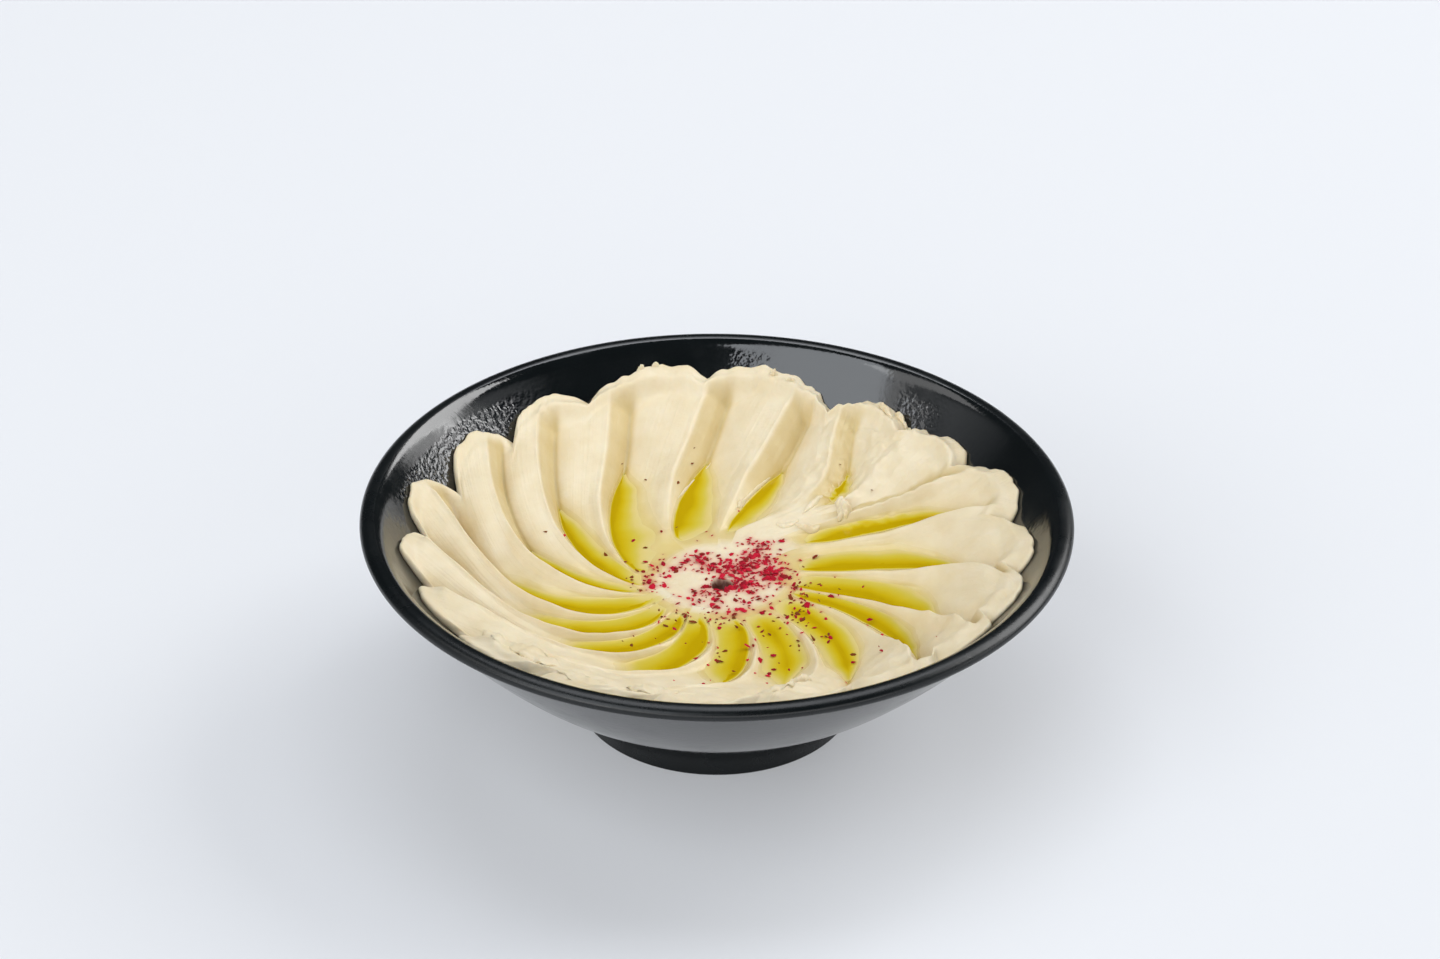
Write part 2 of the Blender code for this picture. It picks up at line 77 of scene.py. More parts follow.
def add(tree, kind, inputs=None, stops=None, **settings):
    """Adds a shader node of a kind and sets its properties and inputs. A ramp takes stops."""
    node = tree.nodes.new("ShaderNode" + kind)
    for key, value in settings.items():
        setattr(node, key, value)
    fill(tree, node, inputs or {})
    if stops:
        elements = node.color_ramp.elements
        while len(elements) < len(stops):
            elements.new(1.0)
        for element, (position, colour) in zip(elements, stops):
            element.position = position
            element.color = colour
    return node


def attribute(tree, name):
    """The value that the mesh stores under this name at each point."""
    return add(tree, "Attribute", attribute_name=name).outputs["Fac"]


def object_place(tree):
    """The point's place in the piece's own axes."""
    return add(tree, "TexCoord").outputs["Object"]


def new_material(name, **settings):
    """A material with one Principled shader. The keywords set its sockets."""
    material = bpy.data.materials.new(name)
    material.use_nodes = True
    tree = material.node_tree
    shader = tree.nodes["Principled BSDF"]
    fill(tree, shader, {key.replace("_", " "): value for key, value in settings.items()})
    return material, tree, shader


# %% Closed surfaces
def closed_surface(name, points, material, smooth_faces=True, **attributes):
    """Mesh of shells. points[n, i, j] is shell n, ring i from its first pole to its last,
    and step j round the ring. Rings 0 and -1 are the poles. Each attribute has the same
    shape without xyz. Rings then steps turn right-handed about the outward normal."""
    points = np.asarray(points, float)
    if points.ndim == 3:
        points = points[None]
        attributes = {key: value[None] for key, value in attributes.items()}
    shells, rings, around = points.shape[:3]
    inner = rings - 2

    def in_order(values):
        tail = values.shape[3:]
        poles = values.mean(axis=2)
        middle = values[:, 1:-1].reshape((shells, inner * around) + tail)
        joined = np.concatenate([poles[:, :1], middle, poles[:, -1:]], axis=1)
        return joined.reshape((-1,) + tail)

    ring = 1 + np.arange(inner * around).reshape(inner, around)
    beside = np.roll(ring, -1, axis=1)
    quads = np.stack([ring[:-1], ring[1:], beside[1:], beside[:-1]], -1).reshape(-1, 4)
    pole = np.zeros(around, int)
    top = np.stack([pole, ring[0], beside[0]], -1)
    bottom = np.stack([pole + 1 + inner * around, beside[-1], ring[-1]], -1)
    start = (np.arange(shells) * (inner * around + 2))[:, None, None]
    quads = (start + quads).reshape(-1, 4)
    triangles = np.concatenate([start + top, start + bottom], 1).reshape(-1, 3)
    mesh = bpy.data.meshes.new(name)
    mesh.from_pydata(in_order(points).tolist(), [], quads.tolist() + triangles.tolist())
    for key, values in attributes.items():
        layer = mesh.attributes.new(key, "FLOAT", "POINT")
        layer.data.foreach_set("value", in_order(values).astype(np.float32))
    if smooth_faces:
        mesh.shade_smooth()
    mesh.materials.append(material)
    piece = bpy.data.objects.new(name, mesh)
    scene.collection.objects.link(piece)
    print(name, len(mesh.vertices), "points,", 2 * len(quads) + len(triangles), "triangles")
    return piece


# %% Points round the axis, steps, and a smooth random surface
LATTICE = 64


def round_axis(r, theta, z):
    """Points from radius, angle and height."""
    return np.stack([r * np.cos(theta), r * np.sin(theta), z + 0 * theta], -1)


def smooth(x, start, end):
    """0 before start, 1 after end, and 3t^2 - 2t^3 between."""
    t = np.clip((x - start) / (end - start), 0.0, 1.0)
    return t * t * (3.0 - 2.0 * t)


def between(x, bounds):
    """1 between the two middle bounds, 0 outside the outer two, and smooth steps there."""
    return smooth(x, bounds[0], bounds[1]) * (1.0 - smooth(x, bounds[2], bounds[3]))


def noise(x, y, seed):
    """Gradient noise, about -1 to 1. Every lattice point of the plane holds a random slope,
    and the four planes round a point are blended by 6t^5 - 15t^4 + 10t^3."""
    turn = np.random.default_rng(seed).uniform(0.0, 2.0 * np.pi, (LATTICE, LATTICE))
    column, row = np.floor(x).astype(int), np.floor(y).astype(int)
    u, v = x - column, y - row
    blend_u, blend_v = (t**3 * (t * (6.0 * t - 15.0) + 10.0) for t in (u, v))
    total = 0.0
    for across, share_u in ((0, 1.0 - blend_u), (1, blend_u)):
        for along, share_v in ((0, 1.0 - blend_v), (1, blend_v)):
            slope = turn[(column + across) % LATTICE, (row + along) % LATTICE]
            plane = np.cos(slope) * (u - across) + np.sin(slope) * (v - along)
            total = total + share_u * share_v * plane
    return 1.5 * total


def layers(x, y, table):
    """Sum of noises. Each row of the table gives a height, a wavelength and a seed."""
    return sum(height * noise(x / wave, y / wave, seed) for height, wave, seed in table)


# %% [markdown]
# ## Camera
# The bowl is seen from the front and from well above, through a long lens, so that its
# rim is a nearly regular oval. A camera is only a position and three axes. Working them
# out from one elevation and a slight roll is easier to check than typing a rotation.

# %% Camera
ELEVATION = np.radians(31.76)
ROLL = np.radians(0.477)
DISTANCE = 0.9970
AIM = np.array([0.0008, 0.0, 0.0764])
LENS, SENSOR = 85.0, 36.0

forward = np.array([0.0, np.cos(ELEVATION), -np.sin(ELEVATION)])
level_right = np.array([1.0, 0.0, 0.0])
level_up = np.cross(level_right, forward)
right = np.cos(ROLL) * level_right + np.sin(ROLL) * level_up
up = np.cos(ROLL) * level_up - np.sin(ROLL) * level_right
place = AIM - DISTANCE * forward
pose = np.eye(4)
pose[:3] = np.column_stack([right, up, -forward, place])
camera = bpy.data.objects.new("Camera", bpy.data.cameras.new("Camera"))
camera.data.lens = LENS
camera.data.sensor_width = SENSOR
camera.data.clip_start = 0.05
camera.matrix_world = Matrix(pose.tolist())
scene.collection.objects.link(camera)
scene.camera = camera
print("camera at", np.round(place, 3))

# %% [markdown]
# ## Floor and light
# The bowl stands on a wide sheet of opal acrylic, lit a little from beneath, so that the
# floor stays pale and the shadow on it soft. The main lights are two softboxes: a high one
# at the left front for the faces turned to the left, and a lower one at the right rear that
# puts the long highlight on the inside of the bowl. Weaker panels stand low round them, and
# one hangs over the bowl. A softbox is an area light, given here by the angles it fills as
# seen from the bowl, because those angles are what a glossy wall reflects.

# %% Floor
# Opal acrylic: a milky sheet with a fine satin grain, nearly free of gloss
floor_paint, tree, shader = new_material(
    "Backlit opal acrylic", Base_Color=linear("CCCED1"), Roughness=0.9,
    Specular_IOR_Level=0.15, Emission_Color=linear("F4F6FA"), Emission_Strength=0.22)
grain = add(tree, "TexNoise", {"Vector": object_place(tree), "Scale": 900.0, "Detail": 2.0})
fill(tree, shader, {
    "Normal": add(tree, "Bump", {"Height": grain, "Strength": 0.08, "Distance": 0.0002})})
FLOOR_SIDE = 16.0
corners = np.array([(-1, -1, 0), (1, -1, 0), (1, 1, 0), (-1, 1, 0)]) * FLOOR_SIDE / 2
floor_mesh = bpy.data.meshes.new("Paper_sweep")
floor_mesh.from_pydata(corners.tolist(), [], [(0, 1, 2, 3)])
floor_mesh.materials.append(floor_paint)
paper = bpy.data.objects.new("Paper_sweep", floor_mesh)
scene.collection.objects.link(paper)


# %% Softboxes
LIGHT_DISTANCE = 4.0
LIT_POINT = Vector((0.0, 0.0, 0.05))


def softbox(name, azimuth, elevation, wide, high, radiance, colour="FFFFFF"):
    """A rectangular area light that faces the bowl. Azimuth is counted from +X to +Y. The
    size is the angle it fills, in degrees, and its watts are radiance times pi times area."""
    light = bpy.data.lights.new(name, "AREA")
    light.shape = "RECTANGLE"
    light.size = 2.0 * LIGHT_DISTANCE * np.tan(np.radians(wide / 2))
    light.size_y = 2.0 * LIGHT_DISTANCE * np.tan(np.radians(high / 2))
    light.energy = radiance * np.pi * light.size * light.size_y
    light.color = linear(colour)[:3]
    lamp = bpy.data.objects.new(name, light)
    azimuth, elevation = np.radians((azimuth, elevation))
    away = Vector((np.cos(azimuth) * np.cos(elevation), np.sin(azimuth) * np.cos(elevation),
                   np.sin(elevation)))
    lamp.location = LIT_POINT + away * LIGHT_DISTANCE
    lamp.rotation_euler = away.to_track_quat("Z", "Y").to_euler()
    scene.collection.objects.link(lamp)


softbox("Softbox_left_front", -132, 50, 41, 31, 2.4, "F4F9FF")
softbox("Softbox_left_low", -135, 28, 42, 14, 2.3)
softbox("Softbox_left", 180, 46, 32, 17, 1.2)
softbox("Softbox_right_rear", 34, 38, 36, 30, 4.6)
softbox("Strip_right", 14, 19, 50, 12, 1.8)
softbox("Panel_front", -90, 25, 100, 20, 1.25)
softbox("Ceiling_panel", 90, 70, 44, 30, 2.6, "F6F9FF")

# %% [markdown]
# The room glows too: strongly towards the front and near the floor, where a studio has its
# white walls, and hardly at all above and behind the bowl. That dark part keeps the gloss
# of the bowl black.

# %% Room
DARK, BRIGHT = 0.05, 0.75
world = bpy.data.worlds.new("Pale room")
scene.world = world
world.use_nodes = True
tree = world.node_tree
direction = add(tree, "SeparateXYZ", {
    "Vector": add(tree, "TexCoord").outputs["Generated"]}).outputs
to_front = add(tree, "MapRange", {"Value": direction["Y"], "From Min": 0.45, "From Max": -0.20})
near_floor = add(tree, "MapRange", {"Value": direction["Z"], "From Min": 0.62, "From Max": 0.48})
both = add(tree, "Math", {0: to_front, 1: near_floor}, operation="MULTIPLY")
fill(tree, tree.nodes["Background"], {
    "Color": linear("F4F6FA"),
    "Strength": add(tree, "MapRange", {"Value": both, "To Min": DARK, "To Max": BRIGHT})})

# %% [markdown]
# ## The swirl
# Hummus is a stiff paste. A spoon pushed through it from the middle outwards, again and
# again round the bowl, leaves overlapping folds like a pinwheel. Each fold rises to a
# crest, then drops by a short steep face into a groove. One could sculpt this by hand, but
# a formula is easier to steer: every groove is a curve given by its angle at four radii,
# and the height between two grooves follows one profile, gentle on one side and steep on
# the other. The first numbers below are the bowl's and the hummus's main sizes in metres.

# %% Sizes of the bowl
FOOT_TOP_RADIUS = 0.0409
FOOT_HEIGHT = 0.0122
WALL_TOP_RADIUS = 0.1015
WALL_TOP = 0.0633
WALL_POWER = 1.52
WALL = 0.0040
LIP_START = 0.985
LIP_TOP = 0.0677
LIP_HALF_WIDTH = 0.0035
LIP_HALF_HEIGHT = 0.0022

# %% Sizes of the folds
CONTACT = 0.00002
PLATEAU_HEIGHT = 0.0434
PLATEAU_RADIUS = 0.018
CREST_RISE = 0.0170
CREST_RUN = 0.074
CREST_POWER = 1.45
CREST_RADII = (0.050, 0.082)
CREST_ROUNDING = 0.3
CREASE_RADII = (0.024, 0.094)
TIP_POWER = 2.2
NOTCH_POWER = 0.85
STEEP_WIDTH = 0.0072
STEEP_INNER_RADIUS = 0.012
STEEP_RUN = 0.040
STEEP_NARROWEST = 0.35
STEEP_SMALLEST_RADIUS = 0.020
STEEP_LARGEST_SHARE = 0.36
STEEP_POWER = 1.12

# %% Sizes of the grooves: a trough where there is oil, a crack where it is dry
GROOVE_RADII = (0.017, 0.030)
GENTLE_POWER = 1.5
WET_SLOPE_SHARE = 0.35
DRY_SLOPE_SHARE = 0.20
TROUGH_INNER_RADIUS = 0.028
TROUGH_RUN = 0.030
TROUGH_SPREAD = 1.15
TROUGH_POWER = 1.7
CRACK_WIDTH = 0.0040
CRACK_POWER = 1.2
DRY_BEFORE_END = 0.012
DRY_AFTER_END = 0.010
FLOOR_INNER_RISE = 1.1
FLOOR_INNER_START = 0.005
FLOOR_INNER_RUN = 0.009
FLOOR_OUTER_RUN = 0.010
FLOOR_OUTER_POWER = 1.5
POOL_DEPTH = 0.0020
OIL_CLIMB_LIMIT = 1.2
DRY_GROOVE = 2

# %% Sizes of the rim, of the hollow ends of five grooves, and of the dimple
END_CLOSED, END_OPEN = 0.0030, 0.0095
HOLLOW_GROOVES = (8, 9, 10, 11, 12)
HOLLOW_DEPTH = 0.0032
HOLLOW_RADII = (0.066, 0.080)
HOLLOW_CLOSED, HOLLOW_OPEN = 0.0008, 0.0045
HOLLOW_RIDGE = 0.2
RIM_BEAD = 0.0034
RIM_BLEND = 0.0065
RIM_THINNEST = 0.0012
DIMPLE_RADIUS = 0.0036
DIMPLE_DEPTH = 0.0034
DIMPLE_X, DIMPLE_Y = 0.0016, -0.0052
DIMPLE_FLOOR, DIMPLE_BRIM = 0.35, 1.15

# %% The grooves, the notches where they meet the edge, and the folds' tips between them
# One row a groove: its crease's angle at each station, the side of the next fold that is
# steep (1 near, -1 far, 0 neither), the share of its rise that this fold keeps in its inner
# half, the trough's half width at both ends, the oil's level and climb, and its two ends.
STATIONS = np.array([0.030, 0.050, 0.070, 0.090])
GROOVES = np.array([
    # degrees at each station   steep crest  trough     level climb from   to, in mm
    [7, 6, 0.5, -12.5, -1, 0.50, 5, 13, 43.3, 2.5, 23, 77],
    [33.5, 28.5, 22.5, 13, -1, 0.60, 5, 11, 43.4, 6, 32, 81],
    [50, 40, 33.5, 29, 0, 0.75, 3, 3, 45.5, 0, 60, 62],
    [60, 46.5, 54, 57.5, 1, 0.85, 6, 6.5, 46, 0.8, 52, 67],
    [79, 72.5, 70, 69, 1, 0.80, 9, 4.5, 43, 0, 22, 64],
    [113, 98.5, 91, 87, 1, 0.80, 14.5, 10, 43, 0, 20, 64],
    [160, 128.5, 114, 108, 1, 0.80, 20, 12.5, 43.3, 0, 20, 64],
    [183, 154, 136, 124, 1, 0.85, 14, 10.5, 43.4, 0, 22, 61],
    [198, 176.5, 155, 138.5, 1, 0.80, 6.5, 5.5, 43.4, 0, 26, 57],
    [216, 201, 177, 161, 1, 0.45, 14.5, 19.5, 43.5, 0, 25, 68],
    [232.5, 219, 194, 177, 1, 0.32, 14.5, 19.5, 43.5, 0, 25, 66],
    [246, 234.5, 211, 194, 1, 0.28, 14.5, 18, 43.5, 0, 25, 63],
    [261, 255, 234, 213, 1, 0.28, 10.5, 17, 43.5, 0, 26, 61],
    [282, 276, 261, 240, 1, 0.28, 10.5, 14.5, 43.5, 0, 25, 58],
    [298, 294, 282, 265, 0, 0.32, 6, 13, 43.45, 0, 25, 61],
    [321, 314, 302.5, 289, -1, 0.38, 5, 9, 43.4, 0.5, 25, 69],
    [336, 332.5, 323.5, 312, -1, 0.38, 6.5, 21, 43.4, 1.5, 25, 79],
    [345.5, 343.5, 338, 329, -1, 0.45, 10.5, 24.5, 43.4, 1, 22, 74],
])
NOTCHES = np.array([
    # degrees, mm from the middle
    (6.4, 86.9), (29.3, 86.8), (46.6, 86.9), (64.8, 85.9), (92, 90.8), (117.2, 89),
    (137.1, 86.6), (158, 84.4), (177.7, 87.1), (195.7, 86), (214, 87.5), (233, 88),
    (254, 88), (274, 88), (294, 88), (315, 87.5), (331, 88.5), (347.7, 88.4)])
TIPS = np.array([
    (15.8, 93.6), (36, 91.3), (55, 91.6), (83, 94), (98.9, 94.5), (126.6, 93),
    (147, 92.8), (168.5, 93.9), (187.3, 93.5), (205, 92.5), (223, 92.5), (243, 92),
    (264, 92.5), (284, 92), (305, 92.5), (325, 92.5), (338, 93.8), (352.7, 93.5)])
N = len(GROOVES)
CREASE_ANGLES = np.radians(GROOVES[:, :4])
STEEP_SIDE, INNER_CREST = GROOVES[:, 4], GROOVES[:, 5]
TROUGH_IN, TROUGH_OUT, LEVEL, CLIMB, START, REACH = GROOVES[:, 6:].T / 1000
print(N, "grooves,", N - 1, "of them hold oil")

# %% The bowl's wall
WALL_SAMPLES = 200


def outer_wall(x):
    """Radius, height and slope of the bowl's outer wall, x = 0 at the foot and 1 at the lip."""
    span = WALL_TOP_RADIUS - FOOT_TOP_RADIUS
    rise = WALL_TOP - FOOT_HEIGHT
    slope = rise / span * WALL_POWER * x**(WALL_POWER - 1.0)
    return FOOT_TOP_RADIUS + span * x, FOOT_HEIGHT + rise * x**WALL_POWER, slope


def inside_wall(x, distance):
    """Radius and height of the line that runs at this distance inside the outer wall."""
    r, z, slope = outer_wall(x)
    length = np.sqrt(1.0 + slope**2)
    return r - distance * slope / length, z + distance / length


def wall_height(r):
    """Height of the hummus's underside, which lies on the inner wall."""
    wall_r, wall_z = inside_wall(np.linspace(0.0, 1.0, WALL_SAMPLES), WALL + CONTACT)
    return np.interp(r, wall_r, wall_z)


# %% Edge, creases and crests
EDGE_RADIUS = 90.0
TORN_EDGE = (20, 34, 66, 80)
NICK_HEIGHTS = (0.22, 0.45)
NICKS = ((1.0, 2.2, 4),)
WAVES = ((0.70, 5.5, 3),)


def outline(theta):
    """Radius of the hummus's edge: pointed notches between rounded tips, and small nicks."""
    corners = np.stack([NOTCHES, TIPS], axis=1).reshape(-1, 2)
    angle = np.radians(corners[:, 0])
    angle = np.concatenate([angle[-1:] - 2 * np.pi, angle, angle[:1] + 2 * np.pi])
    radius = np.concatenate([corners[-1:, 1], corners[:, 1], corners[:1, 1]]) / 1000
    turned = np.mod(theta, 2 * np.pi)
    i = np.clip(np.searchsorted(angle, turned) - 1, 0, 2 * N)
    x = (turned - angle[i]) / (angle[i + 1] - angle[i])
    from_tip = i % 2 == 0
    x = np.where(from_tip, 1.0 - x, x)
    notch = np.where(from_tip, radius[i + 1], radius[i])
    tip = np.where(from_tip, radius[i], radius[i + 1])
    plain = notch + (tip - notch) * (1.0 - (1.0 - x)**TIP_POWER)**NOTCH_POWER
    east, north = EDGE_RADIUS * np.cos(theta), EDGE_RADIUS * np.sin(theta)
    torn = between(np.degrees(turned), TORN_EDGE)
    nicks = (NICK_HEIGHTS[0] + NICK_HEIGHTS[1] * torn) * layers(east, north, NICKS)
    return plain + 0.001 * (layers(east, north, WAVES) + nicks)


def crease_angles(r):
    """Angle of every crease at radius r, and of the first one again a turn later. It is the
    cubic in r that passes through the four stations."""
    r = np.clip(np.asarray(r, float), *CREASE_RADII)
    weights = []
    for i, at in enumerate(STATIONS):
        others = np.delete(STATIONS, i)
        weights.append(np.prod([(r - other) / (at - other) for other in others], axis=0))
    angles = np.stack(weights, axis=-1) @ CREASE_ANGLES.T
    return np.concatenate([angles, angles[..., :1] + 2 * np.pi], axis=-1)


def crest_angles(r):
    """Angle of each fold's crest, which stands beside the crease on its steep side."""
    creases = crease_angles(r)
    gap = creases[..., 1:] - creases[..., :-1]
    r = np.asarray(r, float)[..., None]
    widening = np.clip((r - STEEP_INNER_RADIUS) / STEEP_RUN, STEEP_NARROWEST, 1.0)
    width = STEEP_WIDTH * widening / np.maximum(r, STEEP_SMALLEST_RADIUS)
    share = np.minimum(width / gap, STEEP_LARGEST_SHARE)
    part = np.where(STEEP_SIDE > 0, share, np.where(STEEP_SIDE < 0, 1.0 - share, 0.5))
    return creases[..., :-1] + part * gap


# %% Heights along a fold
def crest_height(r, inner):
    """Height of a crest: the plateau, then a rise as a power of the radius."""
    rise = CREST_RISE * (np.clip(r - PLATEAU_RADIUS, 0.0, None) / CREST_RUN)**CREST_POWER
    return PLATEAU_HEIGHT + rise * (inner + (1.0 - inner) * smooth(r, *CREST_RADII))


def oil_height(r, groove):
    """Height of the oil in a groove: level, or climbing a little towards the rim."""
    run = (r - START[groove]) / (REACH[groove] - START[groove])
    return LEVEL[groove] + CLIMB[groove] * np.clip(run, 0.0, OIL_CLIMB_LIMIT)**2


def floor_height(r, groove):
    """Height of a crease: under the oil along the pool, above it past both ends."""
    past_start = np.clip(r - START[groove] + FLOOR_INNER_START, 0.0, None)
    inner = FLOOR_INNER_RISE * np.exp(-(past_start / FLOOR_INNER_RUN)**2)
    near_end = np.clip(r - REACH[groove] + FLOOR_OUTER_RUN, 0.0, None)
    outer = (near_end / FLOOR_OUTER_RUN)**FLOOR_OUTER_POWER
    return oil_height(r, groove) + POOL_DEPTH * (inner + outer - 1.0)


def take(values, index):
    """values[..., index] for arrays of indices."""
    return np.take_along_axis(values, index[..., None], axis=-1)[..., 0]


def fold_angle(r, fold, side, s):
    """Angle, and arc length from crest to crease, at s of the way down one side of a fold."""
    crest = take(crest_angles(r), fold)
    crease = take(crease_angles(r), fold + side)
    return crest + (crease - crest) * s, np.abs(crease - crest) * r


# %% [markdown]
# ## What the spoon leaves behind
# Real hummus is never as clean as the formula. The spoon's edge drags fine lines along
# each stroke, the paste sags and swells a little, and where it was pulled last it tears.
# Each of these is one more height added to the swirl: noise stretched along the stroke,
# broad noise, and rough noise kept to the torn sector by a mask.


# %% Heights of the relief in mm, its wavelengths in mm, and seeds
LINES = ((0.040, 1.7, 1.0, 11), (0.07, 3.6, 0.8, 12))
LANE_LENGTH = 26.0
LANE_STEP = 5.3
SWELLS = ((0.42, 17.0, 13), (0.14, 7.0, 14))
GRAIN = ((0.045, 2.6, 15),)
TEARS = ((1.0, 4.2, 16), (0.55, 1.9, 17))
TORN_HEIGHT, FRONT_HEIGHT, FRONT_CALM = 0.80, 0.32, 0.6
LUMP_HEIGHT, LUMP_CREASE = 0.7, 1.6
LIP_HEIGHT, LIP_LEFT, LIP_UNEVEN = 0.25, 0.55, 0.8

# %% Sectors of the bowl in degrees, and where in radius the relief starts
TORN = (20, 34, 56, 68)
FRONT = (200, 225, 330, 350)
LEFT = (140, 175, 300, 330)
TORN_RADII = (0.038, 0.056)
FRONT_RADII = (0.060, 0.074)
LINE_RADII = (0.010, 0.030)
SWELL_RADII = (0.006, 0.024)
LIP_RADII = (0.034, 0.055)


# %% Relief
def signed_across(side, s, length):
    """Distance in mm from the crest down either side, negative on the near one."""
    return 1000 * s * length * (2 * side - 1)


def relief(r, theta, fold, side, s, length):
    """Height in metres to add: lines along the stroke, swells, a fine grain, tears, lumps
    along the front, and the sharp lip that the spoon leaves on a crest."""
    x, y = 1000 * r * np.cos(theta), 1000 * r * np.sin(theta)
    across = signed_across(side, s, length)
    lane = 1000 * r / LANE_LENGTH + LANE_STEP * fold
    lines = sum(height * noise(across / wave, share * lane, seed)
                for height, wave, share, seed in LINES)
    degrees = np.degrees(np.mod(theta, 2 * np.pi))
    torn = between(degrees, TORN) * smooth(r, *TORN_RADII)
    front = between(degrees, FRONT) * smooth(r, *FRONT_RADII)
    ragged = (TORN_HEIGHT * torn + FRONT_HEIGHT * front) * layers(x, y, TEARS)
    ragged = ragged + front * (LUMP_HEIGHT - LUMP_CREASE * np.abs(noise(x / 10.0, y / 8.0, 21)))
    calm = smooth(r, *LINE_RADII) * (1.0 - s**6) * (1.0 - FRONT_CALM * front)
    sharp = (LIP_HEIGHT + LIP_LEFT * between(degrees, LEFT)) * smooth(r, *LIP_RADII)
    uneven = 1.0 + LIP_UNEVEN * noise(1000 * r / 6.0, 4.7 * fold, 18)
    lip = sharp * uneven * np.exp(-across**2)
    drawn = (lines * calm + layers(x, y, SWELLS)) * smooth(r, *SWELL_RADII)
    return 0.001 * (drawn + layers(x, y, GRAIN) + ragged + lip)


# %% Rolled rim: a ridge and a shallow furrow, with heights in mm and places in metres
RIDGE_HEIGHT, RIDGE_BACK, RIDGE_UNEVEN = 0.75, 0.85, 0.50
RIDGE_PLACE, RIDGE_WIDTH, RIDGE_WAVE = 0.0042, 0.0022, 6.0
FURROW_DEPTH, FURROW_BACK = 0.45, 0.30
FURROW_PLACE, FURROW_WIDTH = 0.0088, 0.0024
BACK = (0.30, 0.75)


def rolled_rim(inward, theta):
    """Height to add near the edge: the ridge that the spoon pushes up against the bowl. It
    is highest at the back."""
    x, y = EDGE_RADIUS * np.cos(theta), EDGE_RADIUS * np.sin(theta)
    back = smooth(np.sin(theta), *BACK)
    ridge = RIDGE_HEIGHT + RIDGE_BACK * back
    ridge = ridge + RIDGE_UNEVEN * noise(x / RIDGE_WAVE, y / RIDGE_WAVE, 19)
    furrow = FURROW_DEPTH + FURROW_BACK * back
    return 0.001 * (ridge * np.exp(-((inward - RIDGE_PLACE) / RIDGE_WIDTH)**2)
                    - furrow * np.exp(-((inward - FURROW_PLACE) / FURROW_WIDTH)**2))


# %% Height of the hummus
def dimple(r, theta):
    """Share of the dimple's depth at a point: 1 on its floor, 0 outside."""
    away = np.hypot(r * np.cos(theta) - DIMPLE_X, r * np.sin(theta) - DIMPLE_Y)
    return 1.0 - smooth(away / DIMPLE_RADIUS, DIMPLE_FLOOR, DIMPLE_BRIM)


def on_steep_side(fold, side):
    """Whether this side of the fold is its steep one."""
    return np.where(side == 0, STEEP_SIDE[fold] > 0, STEEP_SIDE[fold] < 0)


def fold_height(r, fold, side, s, length, edge, theta):
    """Height of the hummus: crest at s = 0, crease at s = 1, and the edge over the wall. The
    groove below side 0 has the fold's own number, and the one below side 1 the next."""
    groove = (fold + side) % N
    beyond = (fold + 2 * side - 1) % N
    top = crest_height(r, INNER_CREST[fold])
    middle = 0.5 * (top + crest_height(r, INNER_CREST[beyond]))
    drop = np.clip(middle - floor_height(r, groove), 0.0, None)
    bottom = middle - smooth(r, *GROOVE_RADII) * drop
    hollow = np.isin(groove, HOLLOW_GROOVES)
    bottom = bottom - HOLLOW_DEPTH * hollow * smooth(r, *HOLLOW_RADII)
    closed = np.where(hollow, HOLLOW_CLOSED, END_CLOSED)
    opened = np.where(hollow, HOLLOW_OPEN, END_OPEN)
    ends = smooth(edge - r, closed, opened)
    away = (1.0 - s) * length
    widening = np.clip((r - TROUGH_INNER_RADIUS) / TROUGH_RUN, 0.0, 1.0)
    width = TROUGH_IN[groove] + (TROUGH_OUT - TROUGH_IN)[groove] * widening
    dry = smooth(r, REACH[groove] - DRY_BEFORE_END, REACH[groove] + DRY_AFTER_END)
    trough = np.exp(-(away / (TROUGH_SPREAD * width))**TROUGH_POWER) * (1.0 - dry)
    crack = np.exp(-(away / CRACK_WIDTH)**CRACK_POWER) * dry
    share = WET_SLOPE_SHARE + DRY_SLOPE_SHARE * dry
    rounded = smooth(s, 0.0, CREST_ROUNDING)
    gentle = share * s**GENTLE_POWER + (1.0 - share) * (trough + crack) * rounded
    fall = np.where(on_steep_side(fold, side), s**STEEP_POWER, gentle) * ends
    height = top * (1.0 - fall) + bottom * fall
    rolled = rolled_rim(edge - r, theta) * np.where(hollow, HOLLOW_RIDGE, 1.0)
    height = height + relief(r, theta, fold, side, s, length) + rolled
    height = height - DIMPLE_DEPTH * dimple(r, theta)
    wall = wall_height(r)
    rim = 1.0 - smooth(edge - r, 0.0, RIM_BLEND)
    thick = np.maximum((height - wall) * (1.0 - rim) + RIM_BEAD * rim, RIM_THINNEST)
    round_off = np.clip((r - edge + RIM_BEAD) / RIM_BEAD, 0.0, 1.0)
    return wall + thick * np.sqrt(np.clip(1.0 - round_off**2, 0.0, 1.0))


# %% Oil depth and film
FILM = 0.00040
FILM_FADE = 0.0011
STEEP_LOOK = 3.5
FILM_BEGINS = (-0.0065, -0.0010)
FILM_ENDS = (0.001, 0.010)


def oil_film(r, fold, side, height):
    """Thickness of the oil in metres over a point of the hummus: its depth plus a film, and
    above the level a film that thins as exp(-height / FILM_FADE). One looks along the steep
    side of a groove rather than down on it, so its depth counts STEEP_LOOK times."""
    groove = (fold + side) % N
    depth = oil_height(r, groove) - height
    seen = np.minimum(depth * np.where(on_steep_side(fold, side), STEEP_LOOK, 1.0), POOL_DEPTH)
    above = FILM * np.exp(np.minimum(depth, 0.0) / FILM_FADE)
    film = np.where(depth > 0.0, seen + FILM, above)
    begins = smooth(r - START[groove], *FILM_BEGINS)
    ends = 1.0 - smooth(r - REACH[groove], *FILM_ENDS)
    return film * begins * ends * (groove != DRY_GROOVE)


